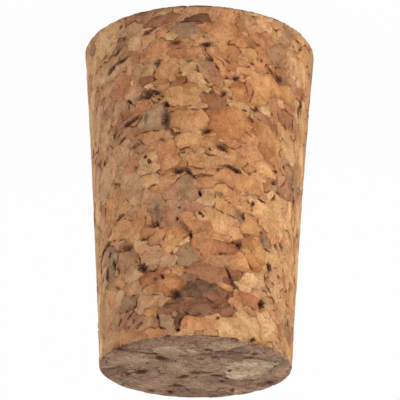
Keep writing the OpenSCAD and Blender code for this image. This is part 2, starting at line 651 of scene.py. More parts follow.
SIDE_GRANULES: dict[Tone, tuple[Mark, ...]] = {
    Tone.CREAM: marks(
        (33, 0.35, 3.4, 0.6), (62, 0.7, 3, 0.8), (-81, 3.5, 5.6, 3, 88), (7, 4.7, 0.9, 0.25, 20),
        (-74, 7, 3.6, 2.2, 88), (-36, 7.7, 0.9, 0.4, 30), (-25.5, 8.7, 1.3, 0.5, -20),
        (48, 9.5, 1.5, 0.8, -20), (37, 10.6, 2.2, 0.9, -10), (58.5, 14.2, 1.7, 0.5, -80),
        (74, 14.5, 4, 2, -85), (12.5, 15, 0.8, 0.35, -5), (-81, 15.5, 5.6, 3, 88), (7, 16.9, 1, 0.4),
        (-27, 17.6, 2.8, 1.3, 8), (-74, 20.5, 4, 2.2, 85), (53, 22.9, 0.8, 0.3), (-7, 25.8, 1.5, 0.45, 35),
        (-12, 26.8, 1.5, 0.45, 62), (34.5, 29.5, 2.8, 1.6, 5), (23.5, 30.8, 0.9, 0.3, -10),
        (-81, 31, 5.6, 3, 88), (46, 34.2, 3.6, 2.6, -5), (-76, 34.5, 3, 2, 80), (-6, 35.4, 2.4, 0.6, 3),
    ),
    Tone.STRAW: marks(
        (21, 0.4, 3.2, 0.7), (-16.5, 0.5, 1.6, 0.7, 15), (19, 0.5, 1.4, 0.7), (33, 1.3, 2, 1.3, -15),
        (-51, 1.6, 3, 1.5, 25), (-55, 1.7, 5, 2.7, 20), (-14.5, 3.4, 1.1, 1), (-34, 3.7, 1.8, 1.4),
        (66, 4, 3.2, 1.6, -70), (-72, 5.8, 2.6, 1.3, 60), (-5, 7, 2.2, 1.5, 10), (0, 8.5, 2.6, 1.2, -60),
        (15, 8.6, 0.9, 0.8), (-81, 9.5, 5.6, 3, 88), (63, 9.5, 2.6, 1, 80), (72, 10.5, 4, 1.8, 85),
        (20.5, 10.8, 2.7, 0.8, -12), (27, 11.3, 1.3, 1.1), (66, 12.3, 3, 1.3, 85), (58, 14, 3, 1.8, -65),
        (13, 16.5, 1.4, 0.7), (84, 20, 5, 1.8, 88), (72, 20.5, 3.4, 2, -85), (66, 21, 4.5, 1.6, 80),
        (5.5, 21.5, 1.9, 1.1), (-76, 22, 4.5, 1.8, 85), (-81, 24, 5.6, 3, 88), (82, 25, 5, 2.4, 88),
        (-33.5, 26, 1.8, 1.5, -60), (48, 26.2, 2.6, 2, -20), (63, 26.6, 3, 1.6, -80),
        (-76, 27.5, 3, 1.4, 85), (73, 29, 4, 1.6, 85), (28, 34.5, 8, 3.3, -5), (64, 34.9, 4, 2, -40),
    ),
    Tone.SAND: marks(
        (-4, 0.8, 3.5, 1, 5), (6.5, 1.2, 1.4, 1.2, 90), (25, 1.3, 2.3, 1.3, -10), (79, 1.5, 3, 1.6, 85),
        (-35.5, 2, 1.9, 1.5), (56, 2, 1.6, 1.1), (55, 4.2, 3.2, 2.2, -30), (-78, 5, 5, 2, 85),
        (-36, 5.4, 2.4, 1.3, 85), (78, 5.5, 4.2, 1.8, 85), (-26.5, 6.7, 1.9, 1.4, 10),
        (-36, 9.2, 2.4, 1.8, 10), (-46, 9.7, 1.8, 1.3, 10), (-68, 10.5, 4, 2.4, 75), (1, 11.2, 2, 0.6),
        (-60, 12, 4, 2.4, 70), (84, 12, 5, 1.8, 88), (74, 14.5, 3.6, 1.6, 85), (-47, 15.3, 3.2, 2.6, 50),
        (-72, 17, 4.5, 1.8, 85), (-60, 17.5, 4, 2.2, 70), (-41, 18.7, 2.7, 2.2, 10),
        (57, 20.5, 2.6, 2, -70), (5, 20.9, 1.8, 1.2), (-31, 21, 4.6, 1.7, -10), (-70, 23.5, 3, 1.5, 85),
        (61, 23.5, 3, 1.8, -70), (74, 24, 4, 1.6, 85), (-26, 27, 3.6, 2.2, 15), (-14, 27.6, 2.8, 1.4, 10),
        (50, 27.9, 2.4, 2, -40), (-39, 28.3, 3, 1.8, 20), (84, 30, 5, 1.8, 88), (-40, 30.3, 2.4, 1.4, 15),
        (-72, 31, 4, 1.8, 85), (45, 31.3, 2, 1.4, -30), (60, 31.3, 3, 1.8, -60), (-27, 31.8, 3.4, 1.5, 10),
        (-66, 32, 3.6, 1.8, 75), (-53, 32, 3, 1.5, 60), (-62, 34.8, 3.4, 2, 20), (62, 35, 3.2, 1.8),
        (56, 35.3, 3, 1.2, -10),
    ),
    Tone.HONEY: marks(
        (66, 2.8, 2.2, 1.6, -20), (-6, 4.2, 2.5, 0.8), (25, 4.9, 2.2, 1.2, -10), (-12, 7, 2.2, 1.2, -80),
        (24, 7, 2.4, 1, -10), (12.5, 7.2, 2.8, 0.8, -50), (-17, 7.4, 2.3, 1.9, 10), (52, 7.9, 2.2, 2, -20),
        (-20, 8.4, 2.4, 0.9, 10), (34, 8.6, 4.3, 3.4, 65), (-4, 9.5, 3, 1.4, 5), (-10.5, 9.6, 3, 0.9, 8),
        (-6, 10.7, 3.2, 0.9), (-6, 12.9, 4, 2.2), (39, 13.5, 4.2, 2.7, -30), (-3, 15.2, 3.4, 1.7, -10),
        (9, 15.3, 1.4, 0.8), (20, 16.6, 2.8, 1.7, -20), (-1, 17, 3.5, 1.1), (11, 17.3, 2.4, 1.2, -15),
        (17, 20.3, 2.4, 1.2, -15), (-55, 20.4, 3.4, 2.4, 60), (28, 21.5, 2, 1.1, -25),
        (16, 21.9, 2.8, 1.9, -20), (31, 23.6, 3, 2.2, -50), (-45, 23.7, 5, 2, 8), (70, 25, 3.4, 2, 80),
        (8, 25.2, 4, 1.2, -8), (-14, 25.5, 3.6, 2.2, 35), (35, 25.6, 3, 1.8, -30), (-27.5, 32.9, 1.8, 0.9),
    ),
    Tone.AMBER: marks(
        (13, 1.2, 2.4, 1.4, -5), (2.5, 2.6, 1.6, 1.2), (11.5, 2.9, 3.2, 2.4), (-19.5, 3.1, 1.2, 0.8, 10),
        (32, 3.2, 2.5, 1.5, -15), (-20, 4.8, 3.6, 1.9, 10), (14, 5, 2.6, 1.5), (-3.5, 5.4, 1.8, 1.3),
        (9, 5.4, 2.4, 1.2, -20), (32, 6.3, 2.2, 0.9, -5), (16.5, 6.6, 2.4, 1.3, 10),
        (-29, 10.8, 2.2, 1.4, 20), (-28, 14.2, 2.6, 1.6, 20), (4.5, 14.9, 1.5, 0.7),
        (17.5, 15.1, 2.2, 1, -15), (41, 15.4, 3.6, 1.5, -25), (28, 15.7, 3.2, 1.7, -20),
        (-16.5, 16.4, 3.3, 2.5, 80), (2, 18.4, 3.2, 0.9, 3), (25, 19, 6.4, 1.7, -12), (3, 19.6, 2.8, 1.1),
        (-31, 21.3, 2.8, 1.6, 15), (-27.5, 23.1, 2.2, 0.9, 85), (-7.5, 23.2, 2.2, 0.9),
        (45, 24, 1.7, 1, -35), (-28, 24.3, 2, 1.2, 20), (1, 24.3, 3.4, 1.6, -5), (-22, 25.3, 2.4, 1.7, 20),
        (24.5, 27.8, 3.4, 1.4, -15), (66, 29.5, 2.4, 0.8, 80), (16.5, 30.5, 2, 0.7, -25),
        (3, 34.6, 4.3, 1.5), (-41, 35.2, 3.2, 1.4, 12), (-26, 35.2, 3, 1.2, 5),
    ),
    Tone.RUST: marks(
        (-13, 5.2, 2.6, 1.5, 10), (-44, 8, 2.3, 1.8, 40), (27, 8.9, 2.4, 0.8, -70),
        (26, 25.3, 2.2, 0.6, 22), (10, 26.3, 4.4, 1.9, -6), (56.5, 28.2, 0.8, 0.5),
        (60, 28.2, 2.4, 0.6, -78), (-26, 29.4, 2.6, 1.5, 5), (30.5, 31.5, 3.6, 1.3, -8),
        (-4.5, 31.8, 0.9, 0.45),
    ),
    Tone.CLAY: marks(
        (-35, 0.6, 1.9, 0.7, 20), (-28, 0.8, 2, 1, 10), (45, 3.4, 2.2, 1.2, -20), (52, 6.4, 3.2, 1.3, -15),
        (5.5, 7.7, 3.6, 1.4, -50), (-53, 9.8, 3, 1.6, 40), (63, 11, 2.6, 1.4, -75),
        (-40, 11.2, 1.8, 0.8, 10), (39, 12, 4.4, 1, -25), (-34.5, 14.8, 2.2, 1.3, 15),
        (56, 18.6, 2.2, 1.6, -60), (-12.5, 20.6, 2, 1.4, 10), (-5, 22.2, 3.4, 1.1),
        (-15, 22.7, 3, 2.4, 70), (-43.5, 27, 3.4, 2.4, 20), (44.5, 29.1, 1.9, 0.8, -82),
        (-50, 33.3, 3, 1.5, 15), (-36, 33.6, 3.4, 1.5, 15), (61, 33.6, 1.8, 1.1, -60),
    ),
    Tone.DRAB: marks(
        (48, 1.2, 2.4, 1.4, -20), (-24.5, 12.6, 2.9, 2.7, 85), (-7, 19.5, 2.6, 1.2, 10),
        (-5, 20.4, 2.6, 2.2), (-24, 22.4, 2.8, 1.6, -85), (-56, 26.3, 2, 1.8, 60), (-58, 27, 3.2, 1.6, 70),
        (-18, 34.1, 1.7, 1.9),
    ),
    Tone.BRICK: marks(
        (-19, 1.6, 4.6, 1.1, 16), (-28.5, 8.1, 2.2, 1, 20), (-10.5, 8.5, 1.8, 0.7, 14),
        (52, 10.7, 2.2, 1.8, -40), (8, 10.8, 3, 1.5, -10), (-44, 25.5, 1.8, 1.1), (8, 29, 4.5, 2, -10),
        (18.5, 29.9, 2.4, 0.8, -30),
    ),
    Tone.PLUM: marks(
        (12, 31.6, 3, 1.9, -10), (2, 32.6, 4.2, 1.7), (-13, 32.8, 3.2, 1.7, 15), (8.5, 32.8, 2.6, 1.2, -5),
        (-7.5, 32.9, 2, 1.2, 8), (17, 33, 2.3, 1.7),
    ),
    Tone.COCOA: marks(
        (-0.5, 1.6, 2.3, 0.8, 10), (-16.5, 32.7, 1.5, 1.1, 80), (-10.3, 34, 1.8, 0.9, 80),
    ),
    Tone.UMBER: marks(
        (3.5, 30.6, 2.6, 1.4, -12), (-4.5, 31, 2.7, 1.6, 12),
    ),
    Tone.HAZEL: marks(
        (-5.5, 2.9, 3.3, 1.4, -5), (-45, 3.2, 2.4, 0.9, 30), (42, 4.5, 2.4, 1.4, -30),
        (60.5, 16.7, 3.4, 1.8, -55), (64, 17, 2.8, 2.4, -75), (49, 18.8, 1.5, 1, -20),
        (22.8, 22.6, 2.9, 0.7, -55), (-21.8, 22.7, 2.4, 1, -86), (41.5, 24.8, 2, 1.1, -35),
        (-7, 27.4, 3, 2.3), (-4, 29.6, 2, 0.9), (-44, 31.6, 2.6, 1.7, 10), (67, 33.2, 2.4, 1.8),
        (-12.5, 33.4, 1.3, 0.8, 80),
    ),
    Tone.COPPER: marks(
        (20.5, 3.7, 1.8, 1.4), (20.5, 9.2, 2.6, 1.7, -30), (15.5, 13.1, 4.8, 3, -3),
        (-8.5, 25, 1.8, 0.8, -40), (35, 27.4, 2, 1.7, -20), (-15, 30.3, 3, 2.5, -15),
        (42, 35.6, 1.4, 0.4, -10),
    ),
    Tone.GOLD: marks(
        (36, 16.9, 3.2, 1.5, -15), (-26, 18.9, 2.4, 1.3, 3), (62, 21.5, 5, 2.2, -75),
        (40, 22, 5.6, 2.2, -18), (14.5, 24, 4.2, 2.5, -32),
    ),
}
FACE_GRANULES: dict[Tone, tuple[Mark, ...]] = {
    Tone.BONE: marks(
        (5.7, -1.1, 5.4, 2.3, -6), (5, 1.4, 3.6, 3, 10),
    ),
    Tone.ASH: marks(
        (-2.4, -5.6, 3.2, 2.6, 15),
    ),
    Tone.FAWN: marks(
        (-6.9, -2.6, 4.4, 4.2), (1.3, -0.8, 3.5, 2.8), (-1.7, 0.2, 2.4, 5.4), (8.7, 0.6, 1.8, 4.4),
        (5.2, 7.2, 3.4, 1.8, 30),
    ),
    Tone.TAUPE: marks(
        (-5, -7.6, 5, 2.6, 20), (6, -5.4, 5.4, 3.6, -35), (-4.5, 1.8, 1.6, 3.4), (-5.2, 4.6, 5, 4.4, -30),
        (0.9, 4.6, 5.4, 3.8),
    ),
    Tone.BARK: marks(
        (3, -4.4, 4, 1.6, -6), (7.4, 4.5, 2.4, 1.4, 20), (-2.2, 6.5, 2, 2.6), (0.4, 8.4, 6.5, 2.2),
    ),
}
SIDE_PITS = marks(
    (-42.5, 1.2, 0.9, 0.35, 30, 0.25), (-7.2, 1.95, 1.7, 0.28, 0, 0.3), (60.5, 2, 1.2, 0.35, 45, 0.3),
    (-0.5, 2.15, 2.2, 0.2, 8, 0.25), (54, 2.3, 0.5, 0.3, 0, 0.2), (-24, 2.45, 1.5, 0.25, 25, 0.3),
    (-27.5, 2.75, 1, 0.45, 15, 0.45), (-55, 3.6, 0.9, 0.3, 30, 0.2), (2, 3.7, 0.6, 0.2, -50, 0.25),
    (-45, 3.9, 1.3, 0.3, 30, 0.3), (-51, 4, 0.5, 0.3, 30, 0.2), (-12, 4.25, 1.2, 0.5, 8, 0.3),
    (3.2, 4.45, 1.5, 0.55, 10, 0.5), (64, 4.5, 0.6, 0.2, -70, 0.2), (-10.5, 4.9, 0.8, 0.2, 10, 0.15),
    (-42.5, 5.1, 2, 0.45, 12, 0.32), (67, 5.3, 0.6, 0.2, -70, 0.2), (32.5, 5.35, 0.45, 0.35, 0, 0.25),
    (-49.5, 5.4, 1.6, 0.5, 25, 0.4), (-54, 5.7, 1.8, 0.2, 40, 0.2), (27.5, 6, 0.45, 0.35, 0, 0.25),
    (38.5, 6.1, 1.3, 0.35, -45, 0.4), (-21, 6.2, 1, 0.5, 10, 0.3), (5.5, 6.2, 0.7, 0.5, 0, 0.35),
    (14, 6.2, 1.6, 0.16, -35, 0.2), (-5, 6.3, 0.6, 0.4, 0, 0.2), (44.7, 6.7, 1.2, 0.8, 10, 0.45),
    (-10.2, 7, 1.6, 0.16, -82, 0.2), (9.8, 7.1, 1.9, 0.22, -42, 0.3), (-1, 7.2, 1, 0.25, -70, 0.25),
    (-23, 7.3, 2, 0.16, 86, 0.15), (-9.5, 7.6, 0.4, 0.35, 0, 0.2), (66.5, 7.9, 1.7, 0.75, 85, 0.6),
    (18.7, 7.95, 0.8, 0.7, 0, 0.6), (14, 8, 0.5, 0.45, 0, 0.3), (-58, 8.2, 0.9, 0.35, 20, 0.2),
    (3.2, 8.4, 1, 0.25, -60, 0.2), (-67, 8.8, 1.2, 0.35, 60, 0.25), (64, 9, 1.6, 0.5, -80, 0.35),
    (-22.8, 9.5, 1.7, 0.6, -18, 0.5), (-26.4, 9.6, 1.5, 1.1, 20, 0.6), (6, 9.7, 0.5, 0.4, 0, 0.3),
    (-37.8, 9.9, 1.2, 0.35, -35, 0.4), (12.5, 9.9, 0.9, 0.4, 60, 0.35), (27, 10.1, 0.45, 0.3, 60, 0.25),
    (-20.8, 10.3, 0.7, 0.3, -25, 0.35), (-26, 10.6, 0.8, 0.2, -50, 0.2), (58.3, 10.7, 2, 0.3, -80, 0.3),
    (46, 10.8, 0.9, 0.25, -60, 0.25), (30.5, 10.9, 0.7, 0.4, 60, 0.3), (41, 10.9, 0.4, 0.3, 60, 0.3),
    (-16.8, 11, 0.8, 0.7, -40, 0.6), (-4.3, 11.25, 0.5, 0.2, 0, 0.2), (24.5, 11.3, 0.6, 0.3, 0, 0.3),
    (51.5, 11.6, 0.7, 0.3, -60, 0.25), (3.6, 11.65, 0.9, 0.25, 0, 0.2), (-2.3, 11.68, 1.2, 0.22, 0, 0.3),
    (-13.4, 11.85, 0.7, 0.25, 10, 0.4), (28, 12.1, 0.9, 0.4, -60, 0.35), (-37.8, 12.15, 2.6, 0.5, 17, 0.5),
    (-28.5, 12.2, 1.6, 0.5, 85, 0.15), (-17.3, 12.7, 2.1, 0.9, -86, 0.35), (4.7, 12.8, 1.4, 0.14, 90, 0.2),
    (-50, 12.9, 0.75, 0.4, 80, 0.35), (-45, 13, 1.3, 0.2, 25, 0.35), (50, 13, 1.4, 0.2, -50, 0.3),
    (-71, 13.4, 1.3, 0.25, 10, 0.25), (27.5, 13.8, 1, 0.22, -28, 0.25), (-44, 13.9, 1.3, 0.25, 25, 0.3),
    (-13.8, 13.9, 1.1, 0.22, -50, 0.4), (4.2, 14.05, 1.3, 0.55, 18, 0.55),
    (-11.6, 14.25, 0.9, 0.3, 5, 0.45), (-66, 14.9, 1, 0.5, 30, 0.2), (-35, 14.9, 1.1, 0.4, 20, 0.25),
    (-60.5, 15.3, 0.9, 0.3, 45, 0.4), (-39, 15.3, 0.7, 0.2, 65, 0.2), (57, 15.5, 1.1, 0.35, 0, 0.2),
    (12.5, 15.75, 1.3, 0.6, -30, 0.6), (5.8, 15.95, 0.3, 0.35, 0, 0.35), (52.5, 16, 0.5, 0.3, 80, 0.45),
    (-29.5, 16.3, 0.4, 0.4, 0, 0.4), (-8, 16.35, 0.5, 0.3, -20, 0.25), (44.5, 16.4, 2.2, 0.18, -32, 0.25),
    (-27, 16.85, 0.7, 0.4, -50, 0.45), (46, 16.9, 0.6, 0.35, -30, 0.4), (-35, 17.3, 0.45, 0.3, 0, 0.2),
    (17.3, 17.75, 2, 0.35, -14, 0.5), (47.8, 17.8, 1.2, 0.2, -72, 0.25), (63.5, 17.8, 0.6, 0.45, 0, 0.6),
    (20.8, 18, 1.5, 0.6, -10, 0.65), (-25, 18.2, 1.8, 0.14, 6, 0.3), (45.3, 18.3, 0.9, 0.4, 15, 0.4),
    (-10.2, 18.35, 1.3, 0.75, 12, 0.5), (-48.5, 18.4, 1, 0.4, -20, 0.25),
    (-5.3, 18.4, 1.3, 0.55, -50, 0.55), (4.5, 18.8, 1.6, 0.25, 3, 0.28), (-2.2, 19, 0.9, 0.25, -40, 0.45),
    (48.5, 19.1, 0.8, 0.25, -10, 0.3), (65.5, 19.2, 1.6, 0.3, -82, 0.3), (-26, 19.55, 1.6, 0.14, 3, 0.28),
    (45.8, 19.8, 1.1, 0.3, 55, 0.5), (17.5, 19.9, 1.5, 0.18, -30, 0.2), (36, 20.6, 2.4, 0.18, -22, 0.25),
    (1.2, 20.75, 0.8, 0.28, -68, 0.55), (12, 20.8, 0.6, 0.6, 0, 0.15), (31.5, 21.2, 0.6, 0.45, 60, 0.5),
    (18, 21.6, 1.6, 0.2, -35, 0.2), (-48, 22.1, 1.5, 0.4, 12, 0.35), (-10, 22.25, 0.5, 0.18, -30, 0.25),
    (-22.4, 22.6, 1.9, 0.5, -84, 0.12), (1.6, 22.9, 0.5, 0.35, -40, 0.55), (26, 22.9, 0.6, 0.3, -60, 0.3),
    (3, 23.2, 0.4, 0.3, 0, 0.45), (-11, 23.45, 0.5, 0.3, 80, 0.4), (42.3, 23.8, 0.6, 0.2, 0, 0.25),
    (-23, 23.9, 1.7, 0.4, 2, 0.4), (38, 24.05, 0.6, 0.22, 5, 0.3), (-6.5, 24.2, 1, 0.22, -40, 0.2),
    (-53, 24.3, 2, 0.22, -16, 0.2), (-7, 24.4, 1.6, 0.4, -50, 0.2), (-61.5, 24.5, 2, 0.35, 26, 0.45),
    (-45.5, 24.6, 2, 0.22, -14, 0.2), (54, 24.6, 1, 0.5, -30, 0.3), (38.6, 24.9, 1.2, 0.4, -60, 0.12),
    (50, 25, 1.2, 0.3, -40, 0.25), (-31, 25.2, 0.7, 0.35, 0, 0.3), (-3.6, 25.2, 0.8, 0.5, -75, 0.5),
    (-68.5, 25.4, 1.3, 0.35, 50, 0.45), (-57.8, 25.6, 1, 0.4, 75, 0.4), (-42.5, 25.7, 1.4, 0.6, -10, 0.3),
    (42.5, 25.7, 0.9, 0.3, -15, 0.3), (23.5, 25.9, 1, 0.75, 90, 0.38), (-70.3, 26.4, 1, 0.35, 90, 0.4),
    (-54, 26.8, 1.1, 0.55, -75, 0.55), (15.5, 27, 1.4, 0.16, 12, 0.2), (12.5, 27.05, 0.9, 0.2, 20, 0.35),
    (-33.8, 27.2, 1.2, 0.25, -80, 0.35), (45.8, 27.3, 0.35, 0.3, 0, 0.3), (45, 27.4, 1, 0.75, -85, 0.65),
    (-61.5, 27.7, 1.6, 0.7, 80, 0.6), (53.5, 28, 0.5, 0.35, -60, 0.25), (-32, 28.2, 1.4, 0.8, -35, 0.55),
    (41.7, 28.6, 0.9, 0.2, 85, 0.35), (-6.5, 28.65, 0.5, 0.3, 0, 0.25), (-26, 28.7, 1.2, 0.2, 5, 0.25),
    (18.3, 29.1, 2.6, 0.3, -55, 0.4), (-6.8, 29.15, 0.3, 0.25, 0, 0.3), (-19.6, 29.4, 0.9, 0.4, -60, 0.5),
    (-51, 29.6, 0.8, 0.3, -20, 0.25), (-24, 29.6, 0.6, 0.3, 0, 0.25), (46, 29.9, 1.3, 0.25, -40, 0.35),
    (20.5, 30.1, 1.2, 0.35, -40, 0.4), (2, 30.3, 1.2, 0.3, 0, 0.2), (8, 30.5, 0.9, 0.18, 55, 0.3),
    (-3, 30.6, 1.6, 0.3, 35, 0.15), (49.5, 30.7, 0.8, 0.25, -55, 0.25), (-6, 30.9, 1.8, 0.35, 20, 0.18),
    (-53.8, 31.1, 0.3, 0.3, 0, 0.35), (-23.5, 31.2, 1, 0.2, -5, 0.25), (12, 31.3, 1.4, 0.3, -40, 0.14),
    (-11.6, 31.4, 1.2, 0.9, 10, 0.6), (17.6, 31.5, 0.8, 0.35, 80, 0.25), (-14.5, 31.55, 0.8, 0.25, 0, 0.3),
    (39.5, 31.6, 1.2, 0.8, 60, 0.7), (40.2, 31.8, 0.7, 0.3, 0, 0.5), (-37.5, 32.1, 0.4, 0.35, 0, 0.45),
    (-13, 32.2, 2.2, 0.3, 15, 0.15), (68, 32.2, 0.8, 0.35, -85, 0.4), (5, 32.3, 2.4, 0.25, 8, 0.14),
    (21.8, 32.5, 0.9, 0.2, -50, 0.2), (17, 32.6, 1.2, 0.22, 30, 0.16), (11, 32.7, 1, 0.45, 0, 0.25),
    (-42, 33, 1, 0.3, 30, 0.3), (-49.5, 33.2, 0.9, 0.3, 50, 0.3), (-5.5, 33.4, 0.8, 0.25, -35, 0.4),
    (1.5, 33.5, 1.6, 0.2, 8, 0.25), (-38.5, 33.6, 0.8, 0.3, 60, 0.25), (-22.3, 33.6, 1.7, 0.25, -82, 0.4),
    (12.5, 33.8, 0.4, 0.25, 0, 0.25), (-34, 34, 1.2, 0.25, 10, 0.3), (-43, 34.1, 0.6, 0.3, 30, 0.25),
    (-9.3, 34.2, 1.2, 0.4, 65, 0.3), (-20.4, 34.8, 0.9, 0.22, -45, 0.35),
    (-10.3, 35.1, 0.6, 0.45, 30, 0.55), (34.8, 35.5, 0.7, 0.5, 10, 0.6), (-16.5, 35.7, 0.9, 0.25, 15, 0.3),
)
FACE_PITS = marks(
    (0.1, -9, 0.4, 0.3, 0, 0.3), (1.3, -6.2, 1, 0.8, -10, 0.35), (-7.6, -5.9, 1.3, 0.9, 0, 0.5),
    (2.7, -5.8, 2.6, 0.5, -4, 0.5), (4.5, -5.3, 1.8, 0.35, -6, 0.4), (-5.6, -5.1, 3.4, 0.42, -17, 0.55),
    (6, -5.1, 0.7, 0.8, 0, 0.6), (-4.2, -4.7, 0.7, 0.5, -30, 0.4), (2, -4, 0.8, 0.55, 15, 0.5),
    (5.6, -3.7, 1, 0.5, 0, 0.3), (0.5, -3.3, 0.7, 0.5, 0, 0.25), (-3.4, -3.2, 2, 1.2, -42, 0.65),
    (-8.6, 0.3, 0.7, 0.4, 0, 0.2), (3.5, 0.5, 0.5, 0.7, 0, 0.4), (-5.7, 1.1, 1.3, 1.3, 20, 0.75),
    (1.1, 1.1, 1.3, 0.35, -4, 0.55), (0, 1.2, 1.2, 0.75, 5, 0.6), (-6.4, 1.4, 1.4, 0.35, 15, 0.5),
    (-7, 2, 0.7, 0.8, 0, 0.45), (2.2, 2, 1.3, 0.5, -25, 0.6), (-1.1, 2.5, 1.5, 0.45, 38, 0.6),
    (-7.6, 2.6, 0.6, 0.6, 0, 0.25), (3.3, 2.8, 0.9, 0.4, -35, 0.45), (2.8, 3.9, 0.6, 0.7, 0, 0.4),
    (7.9, 4.2, 1, 0.8, 10, 0.7), (-2.1, 5.7, 1.2, 0.6, -8, 0.4), (5.6, 6.2, 0.9, 0.6, 0, 0.25),
    (3.9, 7.1, 0.4, 1.2, 0, 0.3), (-4.6, 7.4, 0.6, 0.8, 0, 0.3), (-2.6, 8, 0.7, 0.9, 0, 0.65),
)


@dataclass(frozen=True)
class PitMix:
    """The random pits of one kind of place.

    Attributes:
        share: Share of the places of that kind that are tried.
        apart: Least distance from every other pit, in millimetres.
        length: Least and greatest length in millimetres.
        width: Least and greatest width, a share of the length at a corner, millimetres on a border.
        depth: Least and greatest depth in millimetres.
    """

    share: float
    apart: float
    length: tuple[float, float]
    width: tuple[float, float]
    depth: tuple[float, float]


CORNER_PITS = PitMix(0.12, 1.1, (0.4, 1.1), (0.35, 0.8), (0.2, 0.6))
BORDER_PITS = PitMix(0.006, 1.4, (0.7, 1.9), (0.16, 0.34), (0.15, 0.5))


@dataclass(frozen=True)
class Relief:
    """Depths of the cut surface and the pitches of their noises, in millimetres.

    Attributes:
        skin: Least distance below the smooth outline.
        drop: Greatest further depth of a whole granule.
        tilt: Greatest slope of a granule's top.
        crown: How much lower a granule is at its border than at its middle.
        crown_reach: Reach past which a granule's top falls no further.
        groove: Depth of the widest joint.
        groove_wander: Change in the strength of a joint along it.
        rough: Depth of the unevenness over a whole granule.
        rough_swing: Share of it by which the unevenness swings to either side.
        rim: Greatest depth of the chips along the two rims.
        pit_wall: Share of a pit's half size that its wall takes.
        pit_share: Share of its full depth that a pit is cut to.
        pit_swing: Share by which the depth in a pit swings to either side.
        groove_pitch, rough_pitch, rim_pitch, pit_pitch: Pitches of the noises.
    """

    skin: float = 0.004
    drop: float = 0.035
    tilt: float = 0.025
    crown: float = 0.015
    crown_reach: float = 1.2
    groove: float = 0.028
    groove_wander: float = 0.35
    rough: float = 0.02
    rough_swing: float = 0.6
    rim: float = 0.03
    pit_wall: float = 0.7
    pit_share: float = 0.65
    pit_swing: float = 0.6
    groove_pitch: float = 0.9
    rough_pitch: float = 0.7
    rim_pitch: float = 0.55
    pit_pitch: float = 0.21


